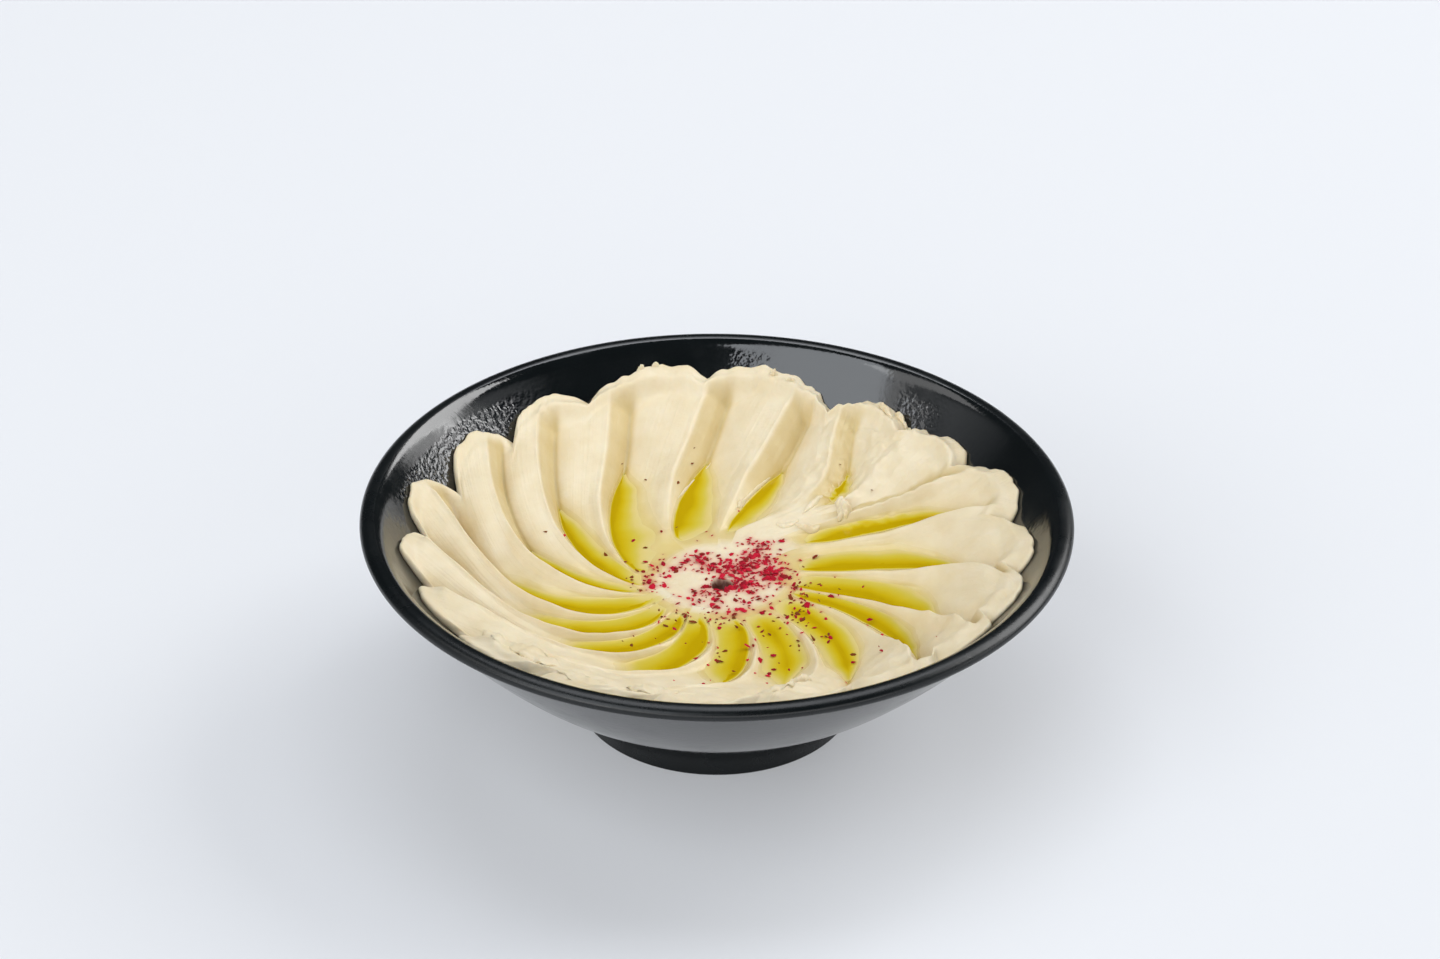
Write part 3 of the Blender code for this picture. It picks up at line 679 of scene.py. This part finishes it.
def find_fold(r, theta):
    """Fold, side, share s and arc length of any point of the plane."""
    creases = crease_angles(r)
    turned = creases[..., 0] + np.mod(theta - creases[..., 0], 2 * np.pi)
    fold = np.clip((turned[..., None] >= creases).sum(axis=-1) - 1, 0, N - 1)
    crest = take(crest_angles(r), fold)
    side = (turned >= crest).astype(int)
    crease = take(creases, fold + side)
    s = np.clip((turned - crest) / (crease - crest), 0.0, 1.0)
    return fold, side, s, np.abs(crease - crest) * r


def surface_at(r, theta):
    """Height of the hummus, and the oil's thickness over it, at any radius and angle."""
    fold, side, s, length = find_fold(r, theta)
    height = fold_height(r, fold, side, s, length, outline(theta), theta)
    return height, oil_film(r, fold, side, height)


# %% [markdown]
# ## Black melamine bowl
# The bowl is moulded melamine: a hard resin pressed and cured in a polished steel mould.
# That leaves a deep, even black with a gloss coat, very slightly wavy as orange peel is,
# and serving spoons leave hair-fine scratches and dull scuffs. Three patches high on the
# inside are worn to a coarse orange peel, and an attribute of the mesh says where. The
# resin has three finishes: polished on the wall, rubbed dull by hands on the lip, and left
# unpolished on the foot. The form is a profile turned about the upright axis: inner wall,
# rolled lip, outer wall and foot ring.

# %% Melamine
def melamine(name, reflects, roughness):
    """Black resin: mottled base, a roughness that scuffs raise, orange peel and hairlines."""
    material, tree, shader = new_material(name, Specular_IOR_Level=reflects, IOR=1.8)
    where = object_place(tree)
    mottle = add(tree, "TexNoise", {"Vector": where, "Scale": 40.0, "Detail": 3.0})
    black = add(tree, "ValToRGB", {"Fac": mottle}, stops=[
        (0.3, linear("03080A")), (0.7, linear("090F11"))])
    scuffs = add(tree, "TexNoise", {
        "Vector": where, "Scale": 55.0, "Detail": 6.0, "Roughness": 0.65})
    dull = add(tree, "MapRange", {"Value": scuffs, "From Min": 0.45, "From Max": 0.75,
                                  "To Min": roughness, "To Max": roughness + 0.15})
    peel = add(tree, "TexNoise", {"Vector": where, "Scale": 620.0, "Detail": 1.0})
    peel_depth = add(tree, "MapRange", {
        "Value": attribute(tree, "worn"), "To Min": 0.06, "To Max": 1.0})
    peel_bump = add(tree, "Bump", {"Height": peel, "Strength": peel_depth, "Distance": 0.0004})
    hairline = add(tree, "Mapping", {
        "Vector": where, "Rotation": (0.3, 0.4, 0.9), "Scale": (60.0, 2200.0, 90.0)})
    scratch = add(tree, "TexNoise", {"Vector": hairline, "Scale": 1.0, "Detail": 0.0})
    thin = add(tree, "MapRange", {"Value": scratch, "From Min": 0.66, "From Max": 0.72})
    both = add(tree, "Bump", {"Height": thin, "Normal": peel_bump, "Strength": 0.10,
                              "Distance": 0.00004})
    fill(tree, shader, {"Base Color": black, "Roughness": dull, "Normal": both})
    return material


glossy_melamine = melamine("Black moulded melamine", 0.5, 0.09)
foot_melamine = melamine("Unpolished melamine of the foot", 0.12, 0.25)
lip_melamine = melamine("Rubbed melamine of the lip", 0.22, 0.26)

# %% Section of the bowl
TURNS = 256
FLOOR_RADII = (0.0, 0.012, 0.026)
WALL_STEPS, SHOULDER_STEPS, ROLL_STEPS = 60, 12, 24
FOOT_SECTION = [
    # radius, height: down the outer edge, along the ring's base, and up into the recess
    (0.0424, 0.0006), (0.0422, 0.0002), (0.0418, 0.0), (0.0390, 0.0), (0.0386, 0.0002),
    (0.0384, 0.0006), (0.0384, 0.0080), (0.0379, 0.0085), (0.030, 0.0085), (0.015, 0.0085),
    (0.0, 0.0085)]


def bowl_profile():
    """Radius and height from the middle of the inner floor over the lip to the foot."""
    inner_r, inner_z = inside_wall(np.linspace(0.0, LIP_START, WALL_STEPS), WALL)
    slope = outer_wall(LIP_START)[2]
    t = np.linspace(0.0, 1.0, SHOULDER_STEPS + 1)[1:, None]
    begin = np.array([inner_r[-1], inner_z[-1]])
    knee = np.array([inner_r[-1] + (LIP_TOP - inner_z[-1]) / slope, LIP_TOP])
    end = np.array([WALL_TOP_RADIUS, LIP_TOP])
    shoulder = (1 - t)**2 * begin + 2 * t * (1 - t) * knee + t**2 * end
    around = np.radians(np.linspace(90.0, -90.0, ROLL_STEPS + 1)[1:])
    roll = np.column_stack([WALL_TOP_RADIUS + LIP_HALF_WIDTH * np.cos(around),
                            LIP_TOP - LIP_HALF_HEIGHT + LIP_HALF_HEIGHT * np.sin(around)])
    outer_r, outer_z, _ = outer_wall(np.linspace(1.0, 0.0, 50)[1:])
    floor = [(r, inner_z[0]) for r in FLOOR_RADII]
    return np.concatenate([floor, np.column_stack([inner_r, inner_z]), shoulder, roll,
                           np.column_stack([outer_r, outer_z]), FOOT_SECTION])


# %% Bowl
WORN_PATCHES = [
    # radii in m and angles in degrees: where it begins, is full, stops being full, ends
    ((0.085, 0.089, 0.0955, 0.0962), (126, 136, 168, 176), 1.0),
    ((0.084, 0.088, 0.094, 0.0965), (42, 46, 50, 54), 1.0),
    ((0.092, 0.094, 0.0965, 0.098), (78, 81, 86, 89), 0.6)]
RUBBED_RADIUS = 0.1005
FOOT_SIDE_RADIUS = 0.038
INSIDE_POINTS = 70

profile = bowl_profile()
turn = np.linspace(0.0, 2 * np.pi, TURNS, endpoint=False)
radius, height = profile[:, :1], profile[:, 1:]
inside = (np.arange(len(profile)) < INSIDE_POINTS)[:, None]
worn = inside * sum(strength * between(radius, radii) * between(np.degrees(turn), angles)
                    for radii, angles, strength in WORN_PATCHES)
bowl = closed_surface(
    "Melamine_bowl", round_axis(radius, turn, height), glossy_melamine, worn=worn)
bowl.data.materials.append(foot_melamine)
bowl.data.materials.append(lip_melamine)
centre = np.empty(3 * len(bowl.data.polygons))
bowl.data.polygons.foreach_get("center", centre)
x, y, z = centre.reshape(-1, 3).T
on_foot = (z < FOOT_HEIGHT) & (np.hypot(x, y) > FOOT_SIDE_RADIUS)
on_lip = (z > WALL_TOP) & (np.hypot(x, y) > RUBBED_RADIUS)
bowl.data.polygons.foreach_set("material_index", on_foot + 2 * on_lip)
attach(bowl, "root")
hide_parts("bowl")

# %% [markdown]
# ## Sumac, thrown first
# Sumac is a dried red berry, crushed with salt into flat flakes 0.5 to 2 mm long. A pinch
# dropped over the middle lands in small heaps with a loose scatter in front. The flakes
# are placed before the hummus is made, because each one stains the paste round it.

# %% Where the flakes lie
draw = np.random.default_rng(41)
HEAPS = np.array([
    # centre x, y, spread x, y in mm, flakes
    [12, 11.5, 3.2, 4.2, 95], [17, 1.5, 3.2, 3.2, 80], [-0.5, 4, 4, 2.2, 45],
    [-2.5, -12.5, 2.6, 2.2, 34], [3, -6, 3.2, 1.8, 60], [9.5, -6, 4, 2.2, 60],
    [7.5, 3, 2.6, 3, 50], [-14, 3, 5.5, 2.2, 30], [-20.5, -6, 3.4, 3, 30],
    [-6.5, 8, 4, 2.2, 24], [6, -17.5, 4.5, 3, 34], [-10.5, -22.5, 4, 3.2, 16],
    [0, -24, 3, 2.6, 12], [23.5, -22.5, 5, 3, 22], [23.5, -12.5, 4, 3, 20],
    [34, -9, 6, 4, 16], [6, -4, 11, 9, 170], [10, -38, 17, 12, 84],
    [0, 18, 16, 7, 14],
])
# Single brown specks out on the folds, in mm
SPECKS = [(-7.4, 64.1), (-8, 58.6), (-12.2, 47.7), (-22.2, 50.6), (-33.3, 9.4),
          (-51.6, 15.9), (-29.9, 59.2), (38.1, 53.5), (20, 18.3), (47.5, 38.8)]
# A bare oval to the left of the dimple
BARE_PLACE, BARE_REACH = (-0.0085, -0.0040), (0.0052, 0.0050)
TYPICAL_FLAKE, SMALLEST_FLAKE, LARGEST_FLAKE = 0.70, 0.26, 1.3
flake_place = np.concatenate([
    draw.normal(heap[:2], heap[2:4], (int(heap[4]), 2)) for heap in HEAPS]) / 1000
from_pit = flake_place - (DIMPLE_X, DIMPLE_Y)
flake_place = flake_place[np.hypot(*from_pit.T) > 0.9 * DIMPLE_RADIUS]
from_gap = (flake_place - BARE_PLACE) / BARE_REACH
flake_place = flake_place[np.hypot(*from_gap.T) >= 1]
flake_place = np.concatenate([flake_place, np.array(SPECKS) / 1000])
flake_count = len(flake_place)
flake_size = draw.lognormal(np.log(TYPICAL_FLAKE), 0.40, flake_count)
flake_size = 0.001 * np.clip(flake_size, SMALLEST_FLAKE, LARGEST_FLAKE)
print(flake_count, "flakes of sumac")

# %% [markdown]
# ## Hummus
# Chickpeas and tahini blended smooth make a pale, warm beige paste, slightly translucent,
# satin rather than matt because of the oil in it. Light sinks in about a millimetre, which
# is what subsurface scattering gives. Where oil lies over it the colour turns from cream
# to deep yellow. The mesh carries the thickness of oil over each point, and a colour ramp
# reads it, so the colour runs on without a step from paste to pool. Shade is painted into
# the steep sides and along the creases, darkening them a little, and sumac stains the paste red.

# %% Colour of the oil by its thickness
THICKEST = 0.0023
OIL_STOPS = [
    (0.0, linear("EBDEC0")), (0.06, linear("E7D7AE")), (0.15, linear("E0CC8C")),
    (0.33, linear("DBC776")), (0.48, linear("D2BF52")), (0.61, linear("D0BB3A")),
    (0.74, linear("CEB524")), (0.85, linear("CAAE0E")), (1.0, linear("BE9F02"))]

SCATTER = dict(Subsurface_Weight=0.25, Subsurface_Scale=0.0006,
               Subsurface_Radius=(1.0, 0.72, 0.42))


def oiled(tree):
    """The oil's thickness stored on the mesh, and the colour that the ramp gives it."""
    film = attribute(tree, "film")
    share = add(tree, "Math", {0: film, 1: 1.0 / THICKEST}, operation="MULTIPLY")
    return film, add(tree, "ValToRGB", {"Fac": share}, stops=OIL_STOPS)


def mixed(tree, share, base, colour, how="MIX"):
    """The base with this share of the colour mixed in, or multiplied by it."""
    mix = add(tree, "Mix", {0: share, 6: base, 7: colour}, data_type="RGBA", blend_type=how)
    return mix.outputs[2]


# %% Hummus paste
# Chickpeas and tahini blended smooth: satin, with faint lines along the spoon's strokes
paste, tree, shader = new_material(
    "Blended chickpea paste", Roughness=0.48, Specular_IOR_Level=0.35, **SCATTER)
where = object_place(tree)
film, oily = oiled(tree)
patchy = add(tree, "TexNoise", {"Vector": where, "Scale": 110.0, "Detail": 4.0})
tone = add(tree, "ValToRGB", {"Fac": patchy}, stops=[
    (0.30, linear("F6F2E8")), (0.70, linear("FFFFFF"))])
toned = mixed(tree, 1.0, oily, tone, "MULTIPLY")
reddened = mixed(tree, attribute(tree, "stain"), toned, linear("C8404E"))
# Painted shade: the steep faces and the creases are multiplied by a darker yellowish beige
darkened = mixed(tree, attribute(tree, "painted_shade"), reddened, linear("EAE1C2"), "MULTIPLY")
browned = mixed(tree, attribute(tree, "pit"), darkened, linear("5A2A1A"))
WET = 0.0003
wetness = add(tree, "MapRange", {"Value": film, "From Max": WET, "To Min": 0.50, "To Max": 0.16})
dryness = add(tree, "MapRange", {"Value": film, "From Max": WET, "To Min": 1.0, "To Max": 0.15})
stroke = add(tree, "CombineXYZ", {"X": attribute(tree, "across"), "Y": attribute(tree, "along")})
drawn = add(tree, "TexNoise", {"Vector": stroke, "Scale": 1.0, "Detail": 3.0})
dragged = add(tree, "Math", {0: attribute(tree, "dragged"), 1: dryness}, operation="MULTIPLY")
drag = add(tree, "Bump", {"Height": drawn, "Strength": dragged, "Distance": 0.00022})
coarse = add(tree, "TexNoise", {"Vector": where, "Scale": 260.0, "Detail": 4.0})
first = add(tree, "Bump", {
    "Height": coarse, "Normal": drag, "Strength": dryness, "Distance": 0.00035})
fine = add(tree, "TexNoise", {"Vector": where, "Scale": 900.0, "Detail": 3.0})
second = add(tree, "Bump", {
    "Height": fine, "Normal": first, "Strength": dryness, "Distance": 0.00008})
fill(tree, shader, {"Base Color": browned, "Roughness": wetness, "Normal": second})

# %% Grid of the top: even rows as far as a radius, then rows crowding towards the edge
ROWS, STEEP_COLUMNS, GENTLE_COLUMNS = 124, 10, 27
COLUMN_POWER = 1.15
EVEN_SHARE, EVEN_RADIUS = 0.6, 0.06
EDGE_ROWS_POWER = 1.5
EDGE_FIRST_GUESS, EDGE_TRIES = 0.090, 12


def columns(n_steep, n_gentle):
    """Fold, side and s of the grid's columns: they run along every crest and
    crease, and lie closer together near a crest."""
    fold, side, s = [], [], []
    for k in range(N):
        n_low, n_high = (n_gentle, n_steep) if STEEP_SIDE[k] < 0 else (n_steep, n_gentle)
        fold += [k] * (n_low + n_high)
        side += [0] * n_low + [1] * n_high
        s += list(1.0 - np.arange(n_low) / n_low) + list(np.arange(n_high) / n_high)
    return np.array(fold), np.array(side), np.array(s)**COLUMN_POWER


fold, side, s = columns(STEEP_COLUMNS, GENTLE_COLUMNS)
edge = np.full(len(fold), EDGE_FIRST_GUESS)
for _ in range(EDGE_TRIES):
    edge = 0.5 * edge + 0.5 * outline(fold_angle(edge, fold, side, s)[0])
u = np.linspace(0.0, 1.0, ROWS + 1)[1:, None]
past_even = np.clip((u - EVEN_SHARE) / (1.0 - EVEN_SHARE), 0.0, 1.0)
outward = 1.0 - (1.0 - past_even)**EDGE_ROWS_POWER
even = EVEN_RADIUS * u / EVEN_SHARE
radius = np.where(u < EVEN_SHARE, even, EVEN_RADIUS + (edge - EVEN_RADIUS) * outward)
fold, side, s, edge = (np.broadcast_to(a, radius.shape) for a in (fold, side, s, edge))
theta, length = fold_angle(radius, fold, side, s)
height = fold_height(radius, fold, side, s, length, edge, theta)
film_depth = oil_film(radius, fold, side, height)
print("hummus reaches", round(1000 * float(height.max()), 1), "mm")

# %% Stain of the sumac: each flake adds exp(-(gap / reach)^2), and the sum saturates
STAINED_RADIUS = 0.045
STAIN_HEIGHT, STAIN_STRENGTH = 0.42, 0.55

x, y = radius * np.cos(theta), radius * np.sin(theta)
near = radius < STAINED_RADIUS
gap = (x[near][:, None] - flake_place[:, 0])**2 + (y[near][:, None] - flake_place[:, 1])**2
reach = 1.15 * flake_size + 0.0003
spots = np.zeros(radius.shape)
spots[near] = (STAIN_HEIGHT * np.exp(-gap / reach**2)).sum(axis=1)
stain = 1.0 - np.exp(-STAIN_STRENGTH * spots)

# %% The spoon's lines, the hole in the middle, and painted shade on the steep faces and creases
SMOOTH_FRONT = (200, 230, 325, 345)
PAINTED_SHADE_RADII = (0.040, 0.052)

across = signed_across(side, s, length) * smooth(radius, 0.006, 0.03)
along = 1000 * radius / 24.0 + 9.1 * fold
pit = smooth(dimple(radius, theta), 0.05, 0.45)
front = between(np.degrees(np.mod(theta, 2 * np.pi)), SMOOTH_FRONT)
dragged = (1.0 - smooth(s, 0.70, 0.90)) * (1.0 - 0.75 * front)
steep = on_steep_side(fold, side)
# Painted shade: darker colour on the steep faces and most along the creases, from about 40 mm
# out, fading near the edge
painted_shade = steep * (0.85 * smooth(s, 0.05, 0.20) + 0.35 * smooth(s, 0.45, 1.0))
painted_shade = painted_shade + 1.2 * ~steep * smooth(s, 0.88, 1.0)
hollow = np.isin((fold + side) % N, HOLLOW_GROOVES)
near_edge = smooth(edge - radius, 0.004 - 0.003 * hollow, 0.009 - 0.005 * hollow)
painted_shade = painted_shade * smooth(radius, *PAINTED_SHADE_RADII) * near_edge

# %% Hummus piece
UNDER_RINGS = 7

under = np.linspace(1.0, 0.0, UNDER_RINGS + 1)[1:, None] * radius[-1:]
pole = np.zeros((1, radius.shape[1]))
all_r = np.concatenate([pole, radius, under])
all_theta = np.concatenate([theta[:1], theta, theta[-1:] + 0 * under])
all_z = np.concatenate([pole + height[:1].mean(), height, wall_height(under)])
on_top = dict(film=film_depth, stain=stain, pit=pit, painted_shade=painted_shade, dragged=dragged,
              across=across, along=along)
stored = {key: np.concatenate([values[:1], values, 0 * under]) for key, values in on_top.items()}
hummus = closed_surface("Hummus_swirl", round_axis(all_r, all_theta, all_z), paste, **stored)
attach(hummus, "root")
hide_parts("hummus")

# %% [markdown]
# ## Olive oil
# Extra virgin oil settles in the grooves as narrow pools with a level surface, which runs
# on a little way inside the paste on both shores. It is clear, but a few millimetres of it
# over cream look yellow, and deeper oil looks golden olive. Rendered as true glass it would
# be noisy, so each pool is a glossy skin coloured by its own depth, with the hummus's ramp.

# %% Oil
# Olive oil: a smooth wet gloss, yellow in thin layers and golden olive in deep ones
oil, tree, shader = new_material("Olive oil", Roughness=0.10, Specular_IOR_Level=0.3, **SCATTER)
fill(tree, shader, {"Base Color": oiled(tree)[1]})

# %% Pools, in metres: how far the skin runs on under and beside the paste, and the search
POOL_ROWS, POOL_COLUMNS = 70, 22
UNDER = 0.00012
HIDDEN = 0.0004
SHORE_SAMPLES = 121
SEARCH_BEFORE, SEARCH_AFTER = 0.008, 0.006
NARROWEST = 0.0008


def shore(r, crease, towards, groove):
    """Angles where the oil's level meets the hummus on one side of a groove."""
    across = np.linspace(0.0, 1.0, SHORE_SAMPLES)
    angle = crease[:, None] + (towards - crease)[:, None] * across
    at = np.broadcast_to(r[:, None], angle.shape)
    wet = oil_height(at, groove) > surface_at(at, angle)[0]
    wet[:, -1] = False
    first_dry = np.argmin(wet, axis=1)
    return crease + (towards - crease) * across[first_dry], first_dry > 0


def pool_points(groove):
    """Closed shell of a pool, rings from its inner to its outer end. Each ring crosses the
    level from shore to shore, then comes back just under the hummus."""
    r = np.linspace(
        START[groove] - SEARCH_BEFORE, REACH[groove] + SEARCH_AFTER, 4 * POOL_ROWS)
    crease = crease_angles(r)[:, groove]
    low = crest_angles(r)[:, groove - 1] - (2 * np.pi if groove == 0 else 0.0)
    high = crest_angles(r)[:, groove]
    left, left_wet = shore(r, crease, low, groove)
    right, right_wet = shore(r, crease, high, groove)
    wet = np.flatnonzero(left_wet & right_wet & (r * (right - left) > NARROWEST))
    run = max(np.split(wet, np.flatnonzero(np.diff(wet) > 1) + 1), key=len)
    r, left, right = r[run], left[run], right[run]
    rows = np.linspace(0.0, 1.0, POOL_ROWS)
    at = np.interp(rows, np.linspace(0.0, 1.0, len(r)), r)
    left = np.interp(at, r, left) - HIDDEN / at
    right = np.interp(at, r, right) + HIDDEN / at
    across = 0.5 - 0.5 * np.cos(np.linspace(0.0, np.pi, POOL_COLUMNS))
    angle = left[:, None] + (right - left)[:, None] * across
    at = np.broadcast_to(at[:, None], angle.shape)
    paste_height, depth = surface_at(at, angle)
    level = oil_height(at, groove)
    beneath = np.minimum(level, paste_height) - UNDER
    ring_r, ring_angle, ring_z, ring_film = (
        np.concatenate([over, back[:, -2:0:-1]], axis=1) for over, back in (
            (at, at), (angle, angle), (level, beneath), (depth, depth)))
    points = round_axis(ring_r, ring_angle, ring_z)
    points[0] = points[0].mean(axis=0) - (0.0, 0.0, 2 * UNDER)
    points[-1] = points[-1].mean(axis=0) - (0.0, 0.0, 2 * UNDER)
    return points, ring_film


wet_grooves = [k for k in range(N) if k != DRY_GROOVE]
for node, groove in zip(pool_nodes, wet_grooves):
    points, depth = pool_points(groove)
    pool = closed_surface(f"Oil_{node[-2:]}", points, oil, film=depth)
    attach(pool, "root")
    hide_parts(node)

# %% [markdown]
# ## Sumac flakes
# Each flake is a thin six-sided chip, twelve triangles, tilted a little and sunk by about a
# third. On paste it is crimson. In oil the yellow over it turns it to rust.

# %% Sumac
# Crushed dried berries: matt, crumbly, crimson to brown from flake to flake
sumac, tree, shader = new_material(
    "Crushed dried sumac", Roughness=0.70, Specular_IOR_Level=0.15)
red = add(tree, "ValToRGB", {"Fac": attribute(tree, "tone")}, stops=[
    (0.0, linear("CE1A38")), (0.45, linear("B50E2A")), (0.72, linear("8C0C20")),
    (1.0, linear("7A3E12"))])
crumble = add(tree, "TexNoise", {"Vector": object_place(tree), "Scale": 2500.0})
bump = add(tree, "Bump", {"Height": crumble, "Strength": 0.5, "Distance": 0.0001})
fill(tree, shader, {"Base Color": red, "Normal": bump})


# %% Lay small chips on the surface
CHIP_SIDES, CHIP_LIFT = 6, 0.25
CHIP_REACH, CHIP_WIDTH = (0.6, 1.25), (0.35, 0.95)
FLAKE_THICKNESS, FLAKE_TILT = 0.7, 0.35
DARKEST_DRY, DARKER_IN_OIL = 0.85, 0.35


def top_of(x, y):
    """Height of whatever lies on top at x, y, and the oil's thickness there."""
    paste_height, thickness = surface_at(np.hypot(x, y), np.arctan2(y, x))
    return paste_height + np.clip(thickness - FILM, 0.0, None), thickness


def chips(place, size, thickness, tilt, random):
    """Six-sided chips with an irregular rim, lying on the surface at each place."""
    count = len(place)
    turn = np.linspace(0.0, 2 * np.pi, CHIP_SIDES, endpoint=False)
    turn = turn + random.uniform(0, 6.28, (count, 1))
    reach = size[:, None] * random.uniform(*CHIP_REACH, (count, CHIP_SIDES))
    stretch = random.uniform(*CHIP_WIDTH, (count, 1))
    along, across = reach * np.cos(turn), reach * stretch * np.sin(turn)
    spin = random.uniform(0, 2 * np.pi, (count, 1))
    x = along * np.cos(spin) - across * np.sin(spin)
    y = along * np.sin(spin) + across * np.cos(spin)
    lean_x, lean_y = random.normal(0, tilt, (2, count, 1))
    z = x * lean_x + y * lean_y
    half = 0.5 * thickness * size[:, None]
    ground, wet = top_of(place[:, 0], place[:, 1])
    top = np.broadcast_to(np.stack([0 * half, 0 * half, half], -1), (count, CHIP_SIDES, 3))
    local = np.stack([top, np.stack([x, y, z], -1), -top], axis=1)
    centre = np.column_stack([place, ground + CHIP_LIFT * half[:, 0]])
    return local + centre[:, None, None, :], wet


flakes, wet = chips(flake_place, flake_size, FLAKE_THICKNESS, FLAKE_TILT, draw)
tone = draw.uniform(0.0, DARKEST_DRY, flake_count) + DARKER_IN_OIL * (wet > FILM)
tone = np.clip(tone, 0.0, 1.0)
tone[-len(SPECKS):] = 1.0
tone = np.broadcast_to(tone[:, None, None], flakes.shape[:3])
sprinkle = closed_surface("Sumac_flakes", flakes, sumac, smooth_faces=False, tone=tone)
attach(sprinkle, "root")

# %% [markdown]
# ## Shreds of paste
# Where the spoon left the paste last, it tore: a crumpled lump, a curl, flat smears, and
# crumbs along the rim. Each is a short strand laid on the surface along a bent path, thick
# in the middle and thin at its ends, with a lumpy skin. One table holds them all.

# %% Shreds
SHREDS = np.array([
    # start x, y, bend x, y, end x, y, width, height, in mm
    [36, 36, 40.5, 33, 36.8, 27, 4.4, 2.4],
    [38.5, 33.5, 39.5, 30.5, 39, 28, 3, 3],
    [23.5, 26.2, 27.5, 20.5, 31.4, 25.2, 1.7, 1.5],
    [18, 26.4, 21.5, 23, 24.9, 27.8, 2.2, 0.7],
    [26, 30, 29.5, 34.5, 32.4, 39, 2, 0.8],
    [50.5, 73.5, 53, 71, 54.4, 66.4, 2, 1.8],
    [55.4, 70.6, 57.4, 69, 58.6, 65.6, 1.8, 1.4],
    [58, 67, 60.2, 65.6, 60.4, 63, 1.8, 1.4],
    [-26, 90, -24.8, 91, -23.6, 90.2, 1.6, 1.5],
    [-21.2, 91.6, -20, 92.2, -18.8, 91.6, 1.6, 1.5],
    [16.4, 89.2, 17.6, 90.4, 18.8, 89.4, 1.8, 1.6],
    [21.6, 86.4, 22.8, 87, 24.2, 86, 1.6, 1.4],
    [5.3, 34.6, 10.2, 45, 16.6, 54.6, 0.6, 0.7],
    [-12.3, 41.2, -7.5, 54, -1.9, 63.2, 0.6, 0.7],
    [6.4, 36.4, 7.4, 38.6, 8.6, 40.6, 1.3, 1],
    [-58, -58, -50, -65, -43, -67, 7.5, 1],
    [-44, -70, -38, -74.5, -30, -74, 7, 0.9],
    [-66, -47, -62, -54, -56, -60, 7, 1],
    [-26, -77, -18, -80, -10, -78, 6, 0.8],
    [8, -76, 15, -79, 22, -76, 6, 0.9],
    [20, -70, 23, -72, 27, -69, 3, 1.6],
])
STRAND_RINGS, STRAND_SIDES = 26, 14
BURIED = 0.4


def strand(row, seed):
    """A bent tube of paste on the surface: a quadratic curve, and an oval section whose size
    goes as sin(pi t) to the power 0.6, with noise on its radius."""
    t = np.linspace(0.0, 1.0, STRAND_RINGS)[:, None]
    turn = np.linspace(0.0, 2 * np.pi, STRAND_SIDES, endpoint=False)
    start, bend, end, width, high = row[0:2], row[2:4], row[4:6], row[6], row[7]
    middle = (1 - t)**2 * start + 2 * t * (1 - t) * bend + t**2 * end
    along = np.gradient(middle, axis=0)
    along = along / np.linalg.norm(along, axis=1, keepdims=True)
    swell = np.sin(np.pi * t)**0.6
    lumps = 1.0 + 0.45 * noise(4.0 * t + 3.1 * seed, 0.8 * np.cos(turn) + 2.0, 22)
    lumps = lumps + 0.25 * noise(9.0 * t + 1.7 * seed, 1.9 * np.sin(turn) + 7.0, 23)
    sideways = 0.5 * width * swell * lumps * np.cos(turn)
    x = middle[:, :1] + along[:, 1:] * sideways
    y = middle[:, 1:] - along[:, :1] * sideways
    x, y = x / 1000, y / 1000
    ground = surface_at(np.hypot(x, y), np.arctan2(y, x))[0]
    rise = 0.001 * high * swell * lumps * np.sin(turn)
    return np.stack([x, y, ground + np.where(rise > 0, rise, BURIED * rise)], -1)


shreds = closed_surface(
    "Hummus_shreds", np.array([strand(row, i) for i, row in enumerate(SHREDS)]), paste)
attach(shreds, "root")
